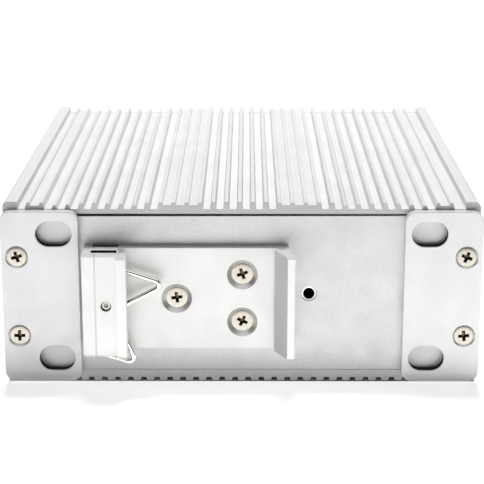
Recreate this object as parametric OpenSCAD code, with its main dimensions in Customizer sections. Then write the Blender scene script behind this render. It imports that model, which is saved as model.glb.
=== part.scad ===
/* [Housing] */
// Width across the side walls
body_w = 103.4; // [102:0.2:130]
// Depth of the extrusion from its rear end to its front end
body_l = 106; // [104:1:140]
// Height from the underside to the fin tips
body_h = 41; // [40:0.5:60]
// Height of the tall fins above the roof wall
fin_h = 1.6; // [0.9:0.1:2.5]
// Distance from one fin to the next
fin_pitch = 2.84; // [2.6:0.02:2.9]
// Width of a fin at its tip
fin_tip_w = 0.95; // [0.6:0.05:1.2]
// Width of a fin at its root
fin_root_w = 1.5; // [1.2:0.05:1.8]
// Width of the outermost fins at their tips
fin_edge_tip_w = 0.55; // [0.4:0.05:0.9]
// Thickness of the roof wall under the fins
roof_t = 1.15; // [1.05:0.05:3]
// Thickness of the two side walls
wall_t = 2.2; // [1.9:0.1:2.8]
// Width of the solid rail along each upper corner
corner_w = 3.3; // [2:0.1:4]
// Thickness of the grooved base plate
base_t = 2.6; // [2.2:0.1:3.5]
// Distance from one base groove to the next
groove_pitch = 2.9; // [2.6:0.02:3.2]
// Width of a base groove at its mouth
groove_w = 1.4; // [0.8:0.1:1.6]
// Depth of the base grooves
groove_d = 0.75; // [0.4:0.05:1.2]
// Radius of the screw ports inside the side walls
port_r = 1.25; // [1:0.05:1.4]
// Radius of the bosses around the screw ports
port_boss_r = 3.0; // [2.6:0.1:3.4]

/* [Panels and ears] */
// Thickness of the rear panel
rear_t = 2.0; // [1.6:0.1:3]
// Gap between the rear panel and the roof wall
rear_top_gap = 0.25; // [0.1:0.05:0.5]
// Thickness of the front panel
front_t = 2.0; // [1.5:0.1:3]
// Width of each mounting ear
ear_w = 16.9; // [16:0.1:18]
// Height of each mounting ear
ear_h = 38.7; // [37:0.1:39]
// Thickness of the mounting ears
ear_t = 2.0; // [1.2:0.1:3]
// Radius of the rounded ear and panel corners
ear_corner_r = 2.2; // [1:0.1:3]
// How far the ears stand out past the side walls
ear_overhang = 0.5; // [0.2:0.1:1.5]
// Height of the underside of the ears above the base
ear_lift = 0.6; // [0.2:0.05:1]
// End-to-end length of the oblong ear slots
ear_slot_l = 7.8; // [6.5:0.1:8.5]
// Width of the oblong ear slots
ear_slot_w = 5.6; // [4.5:0.1:6]
// Distance from an ear's inner edge to the middle of its slots
ear_slot_in = 5.3; // [4.8:0.1:6]
// Distance between the upper and lower ear slots
ear_slot_pitch = 28.4; // [27:0.1:29.5]
// Distance from a side wall's outer face to its screw ports
port_in = 2.95; // [2.9:0.05:3.2]
// Distance between the upper and lower screw ports
port_pitch = 18; // [16:0.5:20]

/* [Screws] */
// Head radius of the countersunk ear screws
ear_head_r = 2.28; // [2.1:0.02:2.5]
// Shank radius of the small screws
screw_r = 1.2; // [0.9:0.05:1.2]
// Length of the ear screws from head to tip
ear_screw_l = 9; // [7:0.5:12]
// Depth that the ear screw heads sit below the surface
ear_head_sink = 0.15; // [0.05:0.05:0.2]
// Head radius of the clip screws
clip_head_r = 2.38; // [2.1:0.02:2.5]
// Length of the clip screws from head to tip
clip_screw_l = 7; // [5.5:0.5:9]
// Width of an arm of the cross recesses
recess_w = 0.72; // [0.5:0.02:0.9]
// Length across the cross recesses
recess_l = 2.4; // [2:0.1:2.8]

/* [Rail clip] */
// Height of the clip along the rail
clip_h = 23.0; // [20:0.1:26]
// Length of the clip from its block to its hook
clip_l = 45.7; // [45:0.1:47]
// Thickness of the clip's plate
plate_t = 2.2; // [2.1:0.1:2.6]
// Gap between the left ear and the clip's block
clip_ear_gap = 1.1; // [0.6:0.1:2]
// Width of the spring block
block_w = 9.6; // [9.2:0.1:10.4]
// How far the block's front face stands off the rear panel
block_d = 8.0; // [7.8:0.1:8.4]
// How far the raised lip of the block stands off the rear panel
lip_d = 9.5; // [9:0.1:9.6]
// Width of the raised lip
lip_w = 2.2; // [1.8:0.1:2.6]
// Distance from the rear panel to the floor of the spring slot
slot_floor = 4.1; // [3.8:0.05:4.2]
// Width of the spring slot
slot_gap = 1.9; // [1.5:0.05:2]
// Depth of the relief in the back of the block
relief_d = 1.4; // [0.8:0.1:1.8]
// Thickness of the block's outer wall
block_wall = 1.9; // [1.5:0.1:2.2]
// How far the fixed hook stands off the rear panel
hook_d = 9.6; // [9:0.1:9.7]
// Depth of the recess behind the fixed hook's lip
hook_under = 2.2; // [1.8:0.1:2.4]
// Opening between the plate and the fixed hook's lip
hook_gap = 1.6; // [1.3:0.1:1.8]
// Radius of the clip's screw cup at the plate's face
cup_r = 3.33; // [3.1:0.01:3.4]
// Distance from the single clip screw to the pair
clip_hole_dx = 14.3; // [13:0.1:15]
// Distance between the two paired clip screws
clip_hole_dz = 10.8; // [10:0.1:12]
// Radius of the spring pin
pin_r = 1.0; // [0.8:0.05:1.05]
// Radius of the spring wire
wire_r = 0.58; // [0.45:0.01:0.6]
// Tilt of the gap in the spring's eye at rest, clockwise from behind
spring_tilt = 45; // [43:1:46]

/* [Ground point] */
// Distance from the clip's end to the middle of the ground nut
ground_gap = 3.2; // [3:0.1:12]
// Height of the ground nut above the underside
ground_z = 20.3; // [12:0.1:28]
// Radius of the ground nut's neck in the panel
ground_neck_r = 1.63; // [1.6:0.01:1.9]

/* [Circuit board] */
// Distance from a side wall to the main board
board_side_gap = 5.5; // [4.5:0.1:6.5]
// Thickness of the main board
board_t = 1.6; // [1:0.1:2]
// Height of the board's standoffs
standoff_h = 6; // [5:0.5:7]
// Distance from the rear panel to the board
board_rear_gap = 5; // [4.5:0.5:7]
// Distance from the front panel to the board
board_front_gap = 2; // [1:0.5:3]
// Distance of the board's screws from its edges
board_hole_in = 4; // [3.5:0.1:5]

/* [Power parts] */
// Thickness of the soft pad between heat spreader and roof
pad_t = 0.5; // [0.3:0.1:1.5]
// Length of the heat spreader along the board
spreader_l = 56; // [52:1:60]
// Thickness of the heat spreader's upright
spreader_t = 3; // [2:0.1:4]
// Width of the heat spreader's top flange
spreader_w = 13; // [10:0.5:16]
// Distance between the power transistors
transistor_pitch = 13; // [12:0.5:13.5]
// Width of the transformer core
core_w = 34; // [32:0.5:36]
// Height of the transformer core
core_h = 24; // [22:0.5:25]
// Thickness of the transformer core
core_t = 12; // [10:0.5:13]
// Radius of the storage capacitors
cap_r = 8; // [7:0.1:8.2]
// Height of the storage capacitors
cap_h = 22; // [15:0.5:25]
// Outer radius of the choke's ring
choke_r = 10; // [8:0.1:10.5]
// Height of the choke's ring
choke_h = 7; // [5:0.5:9]

/* [Front connections] */
// Distance between the poles of the terminal blocks
pole_pitch = 5.08; // [5:0.01:5.2]
// Number of poles on the direct-current input
dc_poles = 2; // [2:1:3]
// Number of poles on the alternating-current output
ac_poles = 3; // [2:1:3]
// Height of the sockets
socket_h = 9; // [8.6:0.1:10]
// Wall thickness of the sockets
socket_wall = 0.9; // [0.7:0.05:1.1]
// How far the plugs reach into their sockets
plug_in = 7; // [6:0.5:8]
// How far the plugs stand out of the front panel
plug_out = 10; // [9:0.5:12]
// Radius of the wire entries in the plugs
wire_hole_r = 1.4; // [1.1:0.05:1.5]
// Width of the rocker switch
switch_w = 9; // [8:0.1:11]
// Height of the rocker switch
switch_h = 14; // [13:0.1:16]
// Tilt of the rocker to each side of its middle
rocker_tilt = 9; // [7:0.5:10]
// Radius of the indicator lenses
led_r = 1.5; // [1.2:0.05:1.8]
// Distance between the indicator lenses
led_pitch = 6; // [5:0.1:7]

/* [Clearances] */
// Gap between parts that slide together or drop in
fit_gap = 0.15; // [0.1:0.01:0.2]
// Radial clearance of a part that turns on a pin
turn_gap = 0.06; // [0.03:0.01:0.09]

/* [Hidden] */
$fn = 48;
eps = 0.01;
// Height of the straight rim of a countersunk head
head_rim = 0.12;
rear_y = -body_l / 2;
front_y = body_l / 2;
half_w = body_w / 2;
roof_top = body_h - fin_h;
roof_z = roof_top - roof_t;
// The base plate runs in a tongue and groove along each side wall.
tongue_d = 1.0;
tongue_z = 1.2;
inner_w = half_w - wall_t;
// The ribs on the side walls end short of the extrusion and stop the rear panel.
rib_w = 2;
rib_h = 1.5;
// Fins are numbered outwards from the middle, so that the roof is the same on both sides.
fin_last = 16;
fin_channel = 15;
fin_round_first = 8;
fin_round_last = 14;
fin_raised_first = 3;
fin_raised_last = 6;
// Height of each fin from the middle outwards, as a share of the tallest
fin_share = [1, 1, 1, 0.94, 0.94, 0.94, 0.94, 0.94, 0.55, 0.68, 0.81, 0.9, 0.8, 0.66, 0.53, 0.88, 0.88];
raised_h = 0.55 * fin_h;
channel_web_h = 0.48 * fin_h;
groove_count = 2 * floor((inner_w - 1) / groove_pitch);
ear_in_x = half_w + ear_overhang - ear_w;
ear_mid_z = ear_lift + ear_h / 2;
port_x = half_w - port_in;
ear_hole_lift = 0.2;
port_z = ear_mid_z + ear_hole_lift;
panel_boss_gap = 0.2;
// Clip places, from the left ear towards the right
clip_x = -ear_in_x + clip_ear_gap;
clip_z = ear_mid_z - 0.1;
clip_end_x = clip_x + clip_l;
lip_tip_x = clip_x + block_w;
slot_x = clip_x + block_wall;
slot_top = slot_floor + slot_gap;
hook_tip_x = clip_end_x - 4.5;
hook_neck_x = clip_end_x - 1.3;
hook_ramp_x = clip_end_x - 1.7;
block_chamfer = 0.3;
score_x = clip_x + 2.8;
score_w = 0.3;
score_d = 0.2;
lip_bevel = 0.7;
pin_x = clip_x + 5.1;
pin_sink = 0.7;
single_x = clip_x + 20.05;
pair_x = single_x + clip_hole_dx;
clip_head_sink = cup_r - clip_head_r - head_rim;
nut_r = 2.9;
nut_h = 2;
ground_x = clip_end_x + ground_gap;
// Spring shape, in a frame whose x axis points from the pin out through the gap in the eye
eye_r = pin_r + turn_gap + wire_r;
neck_r = 0.8;
neck_y = neck_r + wire_r + 0.06;
neck_x = sqrt(pow(eye_r + neck_r, 2) - pow(neck_y, 2));
eye_a = atan2(neck_y, neck_x);
loop_r = 1.0;
// Corner of each loop, and the direction and length of its free leg; the lower half is mirrored
upper_loop = [[6.1, 12.05], 206.6, 10.4];
lower_loop = [[14.5, 5.45], 152.5, 7.7];
collar_half_l = 0.15;
collar_gap = 0.05;
collar_rise = 0.03;
// Board places
board_w = 2 * (inner_w - board_side_gap);
board_z = base_t + standoff_h;
board_top = board_z + board_t;
board_y0 = rear_y + rear_t + board_rear_gap;
board_y1 = front_y - board_front_gap;
board_left = -board_w / 2;
board_right = board_w / 2;
board_mid_y = (board_y0 + board_y1) / 2;
board_hole_x = board_w / 2 - board_hole_in;
board_hole_y0 = board_y0 + board_hole_in;
board_hole_y1 = board_y1 - board_hole_in;
standoff_r = 3;
pan_head_r = 2.2;
pan_head_h = 1.5;
base_head_r = 2.2;
// Heat spreader and transistors
spreader_x = board_left + spreader_w;
spreader_y = board_mid_y;
spreader_top = roof_z - pad_t;
spreader_flange_t = 2;
transistor_count = 4;
transistor_w = 10;
transistor_t = 4.5;
transistor_h = 15;
transistor_leg = 3;
transistor_z = board_top + transistor_leg;
clamp_t = 1.2;
clamp_w = 6;
clamp_z = transistor_z + 9;
// Transformer
core_y = board_mid_y - 4.5;
core_leg = 9;
core_yoke = 4.5;
core_z = board_top;
window_w = (core_w - core_leg) / 2 - core_yoke;
window_h = core_h - 2 * core_yoke;
bobbin_t = 0.8;
bobbin_gap = 0.1;
bobbin_flange = window_w - 0.4;
bobbin_foot_gap = 0.2;
winding_gap = 0.2;
core_x = spreader_x + transistor_t + clamp_t + pan_head_h + 2 + core_t / 2 + bobbin_gap + bobbin_flange;
// Capacitors, choke and relay
film_size = [8, 18, 15];
film_x = board_right - 10;
film_y = board_y0 + 17;
cap_pitch = 2 * cap_r + 1.5;
cap_x = film_x - film_size[0] / 2 - 2 - cap_pitch - cap_r;
cap_y = board_y0 + 13;
choke_x = board_right - 20;
choke_y = board_y1 - 29;
choke_in_r = 0.5 * choke_r;
choke_wire_t = 1.2;
choke_gap = 0.05;
// Front connections
socket_l = 11;
dc_x = board_left + 14;
ac_x = dc_x + (socket_w(dc_poles) + socket_w(ac_poles)) / 2 + 3;
pin_w = 1;
switch_x = board_right - 12;
switch_z = ear_mid_z;
switch_depth = 13;
switch_flange = 1.2;
switch_wall = 1;
rocker_axis_in = 3.5;
switch_rim = 1.2;
rocker_pin_r = 1;
rocker_pin_l = 0.7;
led_x = switch_x - 18;
led_z = board_top + 14;
led_holder_w = 5;
led_holder_l = 5;
led_holder_y = front_y - 2.2;
fuse_x = board_right - 22;
fuse_y = board_y1 - 13;
fuse_r = 2.5;
fuse_l = 20;
fuse_z = board_top + 4;
relay_size = [10, 20, 15];
relay_x = board_right - 14;
relay_y = board_mid_y - 7;
control_x = board_right - 5;
control_t = 1.2;
control_l = 36;
control_h = 20;
header_h = 2.5;
header_w = 2.6;
// Each chip of the control board: place and size along the board, and thickness
chips = [[-5, 7, 10, 10, 1.5], [-15, 6, 5, 6, 1.2], [9, 5, 6, 8, 1.2]];
plug_gap = fit_gap;
plug_crown = 2.5;
plug_shoulder = 0.4;
well_depth = 3;
well_r = 1.9;
clamp_screw_r = 1.8;
clamp_screw_sink = 0.8;
function socket_w(poles) = poles * pole_pitch + 2 * socket_wall + 1;
function side(i) = i == 0 ? -1 : 1;

// Extrudes a section drawn across the body from y0 towards the front.
module along_y(y0, l) {
    translate([0, y0 + l, 0]) rotate([90, 0, 0]) linear_extrude(l) children();
}

// Turns a shape that points up so that it points out of the rear face.
module out_of_rear(x, z, d = 0) {
    translate([x, rear_y - d, z]) rotate([90, 0, 0]) children();
}

// Turns a shape that points up so that it points out of the front face.
module out_of_front(x, z, d = 0) {
    translate([x, front_y + d, z]) rotate([-90, 0, 0]) rotate([0, 0, 180]) children();
}

module rounded_rect(w, h, r) {
    union() {
        translate([-w / 2 + r, -h / 2]) square([w - 2 * r, h]);
        translate([-w / 2, -h / 2 + r]) square([w, h - 2 * r]);
        for (sx = [-1, 1], sy = [-1, 1])
            translate([sx * (w / 2 - r), sy * (h / 2 - r)]) circle(r = r);
    }
}

module oblong(l, w) {
    union() {
        square([l - w, w], center = true);
        for (sx = [-1, 1]) translate([sx * (l - w) / 2, 0]) circle(r = w / 2);
    }
}

// A countersunk screw whose head face is at the origin, pointing up.
module countersunk_screw(head_r, length, turn) {
    cone_h = head_r - screw_r;
    difference() {
        union() {
            translate([0, 0, -head_rim]) cylinder(h = head_rim, r = head_r);
            translate([0, 0, -head_rim - cone_h]) cylinder(h = cone_h, r1 = screw_r, r2 = head_r);
            translate([0, 0, -length]) cylinder(h = length - head_rim, r = screw_r);
        }
        rotate([0, 0, turn]) cross_recess();
    }
}

module cross_recess() {
    recess_d = 0.8;
    for (a = [0, 90]) rotate([0, 0, a])
        translate([-recess_l / 2, -recess_w / 2, -recess_d]) cube([recess_l, recess_w, recess_d + 1]);
    translate([0, 0, -1.3]) cylinder(h = 1.3, r1 = 0.15, r2 = 0.75);
}

// The cone and the shank hole that such a screw sits in, with its mouth at the origin.
module countersunk_hole(head_r, sink, depth, hole_r) {
    mouth_r = head_r + sink + head_rim;
    cone_h = mouth_r - hole_r;
    translate([0, 0, -cone_h]) cylinder(h = cone_h, r1 = hole_r, r2 = mouth_r);
    translate([0, 0, -eps]) cylinder(h = 1, r = mouth_r);
    translate([0, 0, -depth]) cylinder(h = depth, r = hole_r);
}

// ---- Housing ----

module fin(i) {
    x = i * fin_pitch;
    n = abs(i);
    top = roof_top + fin_share[n] * fin_h;
    if (n >= fin_round_first && n <= fin_round_last) {
        r = fin_tip_w / 2;
        translate([x, top - r]) circle(r = r);
        polygon([[x - fin_root_w / 2, roof_top - eps], [x + fin_root_w / 2, roof_top - eps],
            [x + r, top - r], [x - r, top - r]]);
    } else {
        tip = n < fin_channel ? fin_tip_w : fin_edge_tip_w;
        polygon([[x - fin_root_w / 2, roof_top - eps], [x + fin_root_w / 2, roof_top - eps],
            [x + tip / 2, top], [x - tip / 2, top]]);
    }
}

module roof_section() {
    corner_round = 1.3;
    for (i = [-fin_last : fin_last]) fin(i);
    // Webs that join the outermost pair of fins and the two raised groups
    for (s = [-1, 1]) {
        x0 = s > 0 ? fin_channel * fin_pitch : -fin_last * fin_pitch;
        translate([x0, roof_top - eps]) square([(fin_last - fin_channel) * fin_pitch, channel_web_h + eps]);
        x1 = s > 0 ? fin_raised_first * fin_pitch : -fin_raised_last * fin_pitch;
        translate([x1, roof_top - eps])
            square([(fin_raised_last - fin_raised_first) * fin_pitch, raised_h + eps]);
    }
    translate([-half_w, roof_z]) square([body_w, roof_t]);
    for (s = [-1, 1]) polygon([[s * (half_w - corner_w), roof_z], [s * half_w, roof_z],
        [s * half_w, body_h - corner_round], [s * (half_w - corner_round), body_h],
        [s * (half_w - corner_w), body_h]]);
}

module side_wall_section() {
    difference() {
        translate([inner_w, 0]) square([wall_t, roof_z + eps]);
        translate([inner_w - eps, tongue_z - fit_gap])
            square([tongue_d + fit_gap + eps, base_t - tongue_z + 2 * fit_gap]);
    }
}

module housing_top() {
    color([0.78, 0.78, 0.79]) difference() {
        union() {
            along_y(rear_y, body_l) {
                roof_section();
                side_wall_section();
                mirror([1, 0]) side_wall_section();
            }
            for (s = [-1, 1], z = [-1, 1]) along_y(rear_y, body_l) intersection() {
                translate([s * port_x, port_z + z * port_pitch / 2]) circle(r = port_boss_r);
                translate([s > 0 ? 0 : -half_w, 0]) square([half_w, body_h]);
            }
            for (s = [-1, 1]) along_y(rear_y + rear_t, body_l - rear_t)
                translate([s > 0 ? inner_w - rib_w : -inner_w - eps, port_z - rib_h / 2])
                    square([rib_w + eps, rib_h]);
        }
        for (s = [-1, 1], z = [-1, 1])
            out_of_rear(s * port_x, port_z + z * port_pitch / 2, 1)
                translate([0, 0, -body_l - 2]) cylinder(h = body_l + 4, r = port_r);
    }
}

module base_groove() {
    inner = 0.75 * groove_w;
    polygon([[-groove_w / 2, -eps], [groove_w / 2, -eps], [inner / 2, groove_d], [-inner / 2, groove_d]]);
}

module board_corners() {
    for (s = [-1, 1], y = [board_hole_y0, board_hole_y1]) translate([s * board_hole_x, y, 0]) children();
}

module housing_base() {
    color([0.72, 0.72, 0.73]) difference() {
        along_y(rear_y, body_l) difference() {
            union() {
                translate([-inner_w + fit_gap, 0]) square([2 * (inner_w - fit_gap), base_t]);
                translate([-inner_w - tongue_d + fit_gap, tongue_z])
                    square([2 * (inner_w + tongue_d - fit_gap), base_t - tongue_z]);
            }
            for (i = [0 : groove_count - 1])
                translate([(i - (groove_count - 1) / 2) * groove_pitch, 0]) base_groove();
        }
        board_corners() rotate([180, 0, 0]) countersunk_hole(base_head_r, 0.1, base_t + 1, screw_r + fit_gap);
    }
}

module rear_panel() {
    h = roof_z - rear_top_gap - base_t;
    hole_z = [[single_x, 0], [pair_x, clip_hole_dz / 2], [pair_x, -clip_hole_dz / 2]];
    color([0.8, 0.8, 0.81]) difference() {
        translate([-inner_w + fit_gap, rear_y, base_t]) cube([2 * (inner_w - fit_gap), rear_t, h]);
        for (s = [-1, 1], z = [-1, 1])
            out_of_rear(s * port_x, port_z + z * port_pitch / 2, 1)
                translate([0, 0, -rear_t - 2]) cylinder(h = rear_t + 3, r = port_boss_r + panel_boss_gap);
        for (p = hole_z) out_of_rear(p[0], clip_z + p[1], 1)
            translate([0, 0, -rear_t - 2]) cylinder(h = rear_t + 3, r = screw_r + 0.05);
        out_of_rear(ground_x, ground_z, 1)
            translate([0, 0, -rear_t - 2]) cylinder(h = rear_t + 3, r = ground_neck_r + 0.02);
    }
}

module ear_plate() {
    slot_x0 = ear_w / 2 - ear_slot_in;
    port_off = half_w + ear_overhang - ear_w / 2 - port_x;
    difference() {
        linear_extrude(ear_t) difference() {
            rounded_rect(ear_w, ear_h, ear_corner_r);
            for (z = [-1, 1]) translate([slot_x0, z * ear_slot_pitch / 2 + ear_hole_lift])
                oblong(ear_slot_l, ear_slot_w);
        }
        for (z = [-1, 1]) translate([port_off, port_z - ear_mid_z + z * port_pitch / 2, ear_t])
            countersunk_hole(ear_head_r, ear_head_sink, ear_t + 1, screw_r + fit_gap);
    }
}

module left_ear() {
    color([0.93, 0.93, 0.94]) out_of_rear(-half_w - ear_overhang + ear_w / 2, ear_mid_z) ear_plate();
}

module right_ear() {
    color([0.93, 0.93, 0.94]) out_of_rear(half_w + ear_overhang - ear_w / 2, ear_mid_z)
        mirror([1, 0, 0]) ear_plate();
}

module ear_screws() {
    turns = [[0, 17], [5, -22]];
    color([0.85, 0.82, 0.75]) for (i = [0, 1], j = [0, 1])
        out_of_rear(side(i) * port_x, port_z + side(j) * port_pitch / 2, ear_t - ear_head_sink)
            countersunk_screw(ear_head_r, ear_screw_l, turns[i][j]);
}

module front_panel() {
    color([0.8, 0.8, 0.81]) difference() {
        out_of_front(0, ear_mid_z) linear_extrude(front_t)
            rounded_rect(body_w, ear_h, ear_corner_r);
        for (i = [0, 1], j = [0, 1])
            out_of_front(side(i) * port_x, port_z + side(j) * port_pitch / 2, front_t)
                countersunk_hole(ear_head_r, ear_head_sink, front_t + 1, screw_r + fit_gap);
        panel_window(dc_x, board_top + socket_h / 2, socket_w(dc_poles), socket_h);
        panel_window(ac_x, board_top + socket_h / 2, socket_w(ac_poles), socket_h);
        panel_window(switch_x, switch_z, switch_w, switch_h);
        for (i = [0 : 2]) out_of_front(led_x, led_z + (i - 1) * led_pitch, front_t + 1)
            translate([0, 0, -front_t - 2]) cylinder(h = front_t + 3, r = led_r + fit_gap);
    }
}

module panel_window(x, z, w, h) {
    translate([x - w / 2 - fit_gap, front_y - 1, z - h / 2 - fit_gap])
        cube([w + 2 * fit_gap, front_t + 2, h + 2 * fit_gap]);
}

module front_screws() {
    color([0.85, 0.82, 0.75]) for (i = [0, 1], j = [0, 1])
        out_of_front(side(i) * port_x, port_z + side(j) * port_pitch / 2, front_t - ear_head_sink)
            countersunk_screw(ear_head_r, ear_screw_l, 30 * i + 20 * j);
}

// ---- Rail clip ----

// Cross-section of the clip: first number along the body, second away from the rear panel
module clip_section() {
    mirror([0, 1]) polygon([
        [clip_x, 0],
        [clip_x, block_d - block_chamfer],
        [clip_x + block_chamfer, block_d],
        [score_x - score_w / 2, block_d],
        [score_x, block_d - score_d],
        [score_x + score_w / 2, block_d],
        [lip_tip_x - lip_w, block_d],
        [lip_tip_x - lip_w, lip_d],
        [lip_tip_x - block_chamfer, lip_d],
        [lip_tip_x, lip_d - block_chamfer],
        [lip_tip_x, slot_top],
        [slot_x, slot_top],
        [slot_x, slot_floor],
        [lip_tip_x - lip_w, slot_floor],
        [lip_tip_x - lip_w, plate_t],
        [hook_tip_x + hook_under, plate_t],
        [hook_tip_x + hook_under, plate_t + hook_gap],
        [hook_tip_x, plate_t + hook_gap],
        [hook_ramp_x, hook_d],
        [clip_end_x - block_chamfer, hook_d],
        [clip_end_x, hook_d - block_chamfer],
        [hook_neck_x, plate_t + hook_gap],
        [hook_neck_x, 0],
        [lip_tip_x - lip_w, 0],
        [lip_tip_x - lip_w, relief_d],
        [slot_x, relief_d],
        [slot_x, 0]]);
}

module clip_body() {
    holes = [[single_x, 0], [pair_x, clip_hole_dz / 2], [pair_x, -clip_hole_dz / 2]];
    color([0.95, 0.95, 0.95]) difference() {
        translate([0, rear_y, clip_z - clip_h / 2]) linear_extrude(clip_h) clip_section();
        out_of_rear(pin_x, clip_z) translate([0, 0, -eps]) cylinder(h = block_d + 1, r = pin_r + 0.03);
        for (p = holes) out_of_rear(p[0], clip_z + p[1], plate_t)
            countersunk_hole(clip_head_r, clip_head_sink, plate_t + 1, screw_r + fit_gap);
        // The raised lip is chamfered at both ends.
        for (s = [-1, 1]) translate([lip_tip_x - lip_w / 2, rear_y - lip_d, clip_z + s * clip_h / 2])
            rotate([45, 0, 0]) cube([lip_w + 1, lip_bevel * sqrt(2), lip_bevel * sqrt(2)], center = true);
    }
}

module clip_screws() {
    color([0.85, 0.82, 0.75]) {
        out_of_rear(single_x, clip_z, plate_t - clip_head_sink)
            countersunk_screw(clip_head_r, clip_screw_l, 8);
        out_of_rear(pair_x, clip_z + clip_hole_dz / 2, plate_t - clip_head_sink)
            countersunk_screw(clip_head_r, clip_screw_l, 20);
        out_of_rear(pair_x, clip_z - clip_hole_dz / 2, plate_t - clip_head_sink)
            countersunk_screw(clip_head_r, clip_screw_l, -25);
    }
}

module clip_nuts() {
    holes = [[single_x, 0], [pair_x, clip_hole_dz / 2], [pair_x, -clip_hole_dz / 2]];
    color([0.75, 0.75, 0.76]) for (p = holes)
        out_of_rear(p[0], clip_z + p[1], -rear_t - nut_h) difference() {
            cylinder(h = nut_h, r = nut_r, $fn = 6);
            translate([0, 0, -1]) cylinder(h = nut_h + 2, r = screw_r + 0.05);
        }
}

// The wire's straight and bent pieces meet in short collars that are hardly thicker than the wire.
module wire_collar() {
    rotate([0, 90, 0]) cylinder(h = 2 * collar_half_l, r = wire_r + collar_rise, center = true);
}

module wire_bar(l) {
    wire_collar();
    translate([collar_gap, 0, 0]) rotate([0, 90, 0]) cylinder(h = l - 2 * collar_gap, r = wire_r);
    translate([l, 0, 0]) wire_collar();
}

module wire_bend(r, a) {
    gap_a = collar_gap / r * 180 / PI;
    rotate([0, 0, gap_a]) rotate_extrude(angle = a - 2 * gap_a) translate([r, 0]) circle(r = wire_r);
}

// One half of the spring outside its eye: neck bend, inner leg, loop and free leg
module spring_half(corner, free_a, free_l) {
    reach = corner - [neck_x, neck_y];
    inner_a = atan2(reach[1], reach[0]) + asin(neck_r / norm(reach));
    inner_l = sqrt(pow(norm(reach), 2) - pow(neck_r, 2));
    half_a = (inner_a + 180 - free_a) / 2;
    tangent = loop_r / tan(half_a);
    translate([neck_x, neck_y, 0]) rotate([0, 0, eye_a - 180]) {
        translate([neck_r, 0, 0]) rotate([0, 0, 90]) wire_collar();
        wire_bend(neck_r, inner_a + 90 - eye_a);
    }
    translate([neck_x + neck_r * sin(inner_a), neck_y - neck_r * cos(inner_a), 0])
        rotate([0, 0, inner_a]) wire_bar(inner_l - tangent);
    // The loop's centre lies on the line that halves the corner.
    translate([corner[0], corner[1], 0]) rotate([0, 0, inner_a + 180 - half_a])
        translate([loop_r / sin(half_a), 0, 0])
            rotate([0, 0, 90 + half_a]) wire_bend(loop_r, 180 - 2 * half_a);
    translate([corner[0], corner[1], 0]) rotate([0, 0, free_a])
        translate([tangent, 0, 0]) wire_bar(free_l - tangent);
}

module clip_spring() {
    color([0.8, 0.8, 0.8]) out_of_rear(pin_x, clip_z, (slot_floor + slot_top) / 2)
        rotate([0, 0, -spring_tilt]) {
            rotate([0, 0, eye_a]) wire_bend(eye_r, 360 - 2 * eye_a);
            spring_half(upper_loop[0], upper_loop[1], upper_loop[2]);
            mirror([0, 1, 0]) spring_half(lower_loop[0], lower_loop[1], lower_loop[2]);
        }
}

module clip_pin() {
    color([0.6, 0.6, 0.6]) out_of_rear(pin_x, clip_z) difference() {
        cylinder(h = block_d - pin_sink, r = pin_r);
        translate([0, 0, block_d - pin_sink - 0.4]) cylinder(h = 0.5, r1 = 0.05, r2 = 0.6);
    }
}

module ground_nut() {
    neck_sink = 0.2;
    body_r = 2.9;
    body_h0 = 3;
    color([0.7, 0.7, 0.68]) out_of_rear(ground_x, ground_z, -rear_t) difference() {
        union() {
            translate([0, 0, -body_h0]) cylinder(h = body_h0, r = body_r, $fn = 6);
            cylinder(h = rear_t - neck_sink, r = ground_neck_r);
        }
        translate([0, 0, -body_h0 - 1]) cylinder(h = body_h0 + rear_t + 2, r = port_r);
    }
}

// ---- Circuit board ----

module main_board() {
    color([0.1, 0.35, 0.2]) difference() {
        translate([-board_w / 2, board_y0, board_z]) cube([board_w, board_y1 - board_y0, board_t]);
        board_corners() translate([0, 0, board_z - 1]) cylinder(h = board_t + 2, r = screw_r + fit_gap);
    }
}

module standoffs() {
    color([0.8, 0.7, 0.4]) board_corners() translate([0, 0, base_t]) difference() {
        cylinder(h = standoff_h, r = standoff_r, $fn = 6);
        translate([0, 0, -1]) cylinder(h = standoff_h + 2, r = port_r);
    }
}

module base_screws() {
    reach = base_t + standoff_h / 2;
    color([0.85, 0.82, 0.75]) board_corners() translate([0, 0, 0.1]) rotate([180, 0, 0])
        countersunk_screw(base_head_r, reach, 12);
}

// A round-headed screw whose head sits on the plane below its origin, pointing up.
module pan_screw(length) {
    difference() {
        union() {
            cylinder(h = pan_head_h, r1 = pan_head_r, r2 = 0.8 * pan_head_r);
            translate([0, 0, -length]) cylinder(h = length + eps, r = screw_r);
        }
        translate([0, 0, pan_head_h]) cross_recess();
    }
}

module board_screws() {
    color([0.8, 0.8, 0.8]) board_corners() translate([0, 0, board_top])
        pan_screw(board_t + standoff_h / 2 - 0.9);
}

module control_board() {
    color([0.1, 0.35, 0.2]) translate([control_x, board_mid_y - control_l / 2, board_top + header_h])
        cube([control_t, control_l, control_h]);
}

module control_chips() {
    color([0.12, 0.12, 0.12]) {
        for (c = chips) translate([control_x - c[4], board_mid_y + c[0], board_top + header_h + c[1]])
            cube([c[4], c[2], c[3]]);
    }
}

module board_header() {
    end_gap = 3;
    color([0.1, 0.1, 0.1]) translate([control_x + control_t / 2 - header_w / 2,
        board_mid_y - control_l / 2 + end_gap, board_top])
            cube([header_w, control_l - 2 * end_gap, header_h]);
}

// ---- Power parts ----

module spreader_screw_places() {
    for (i = [1 : transistor_count - 1])
        translate([spreader_x, spreader_y + (i - transistor_count / 2) * transistor_pitch, clamp_z])
            rotate([0, 90, 0]) children();
}

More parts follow.
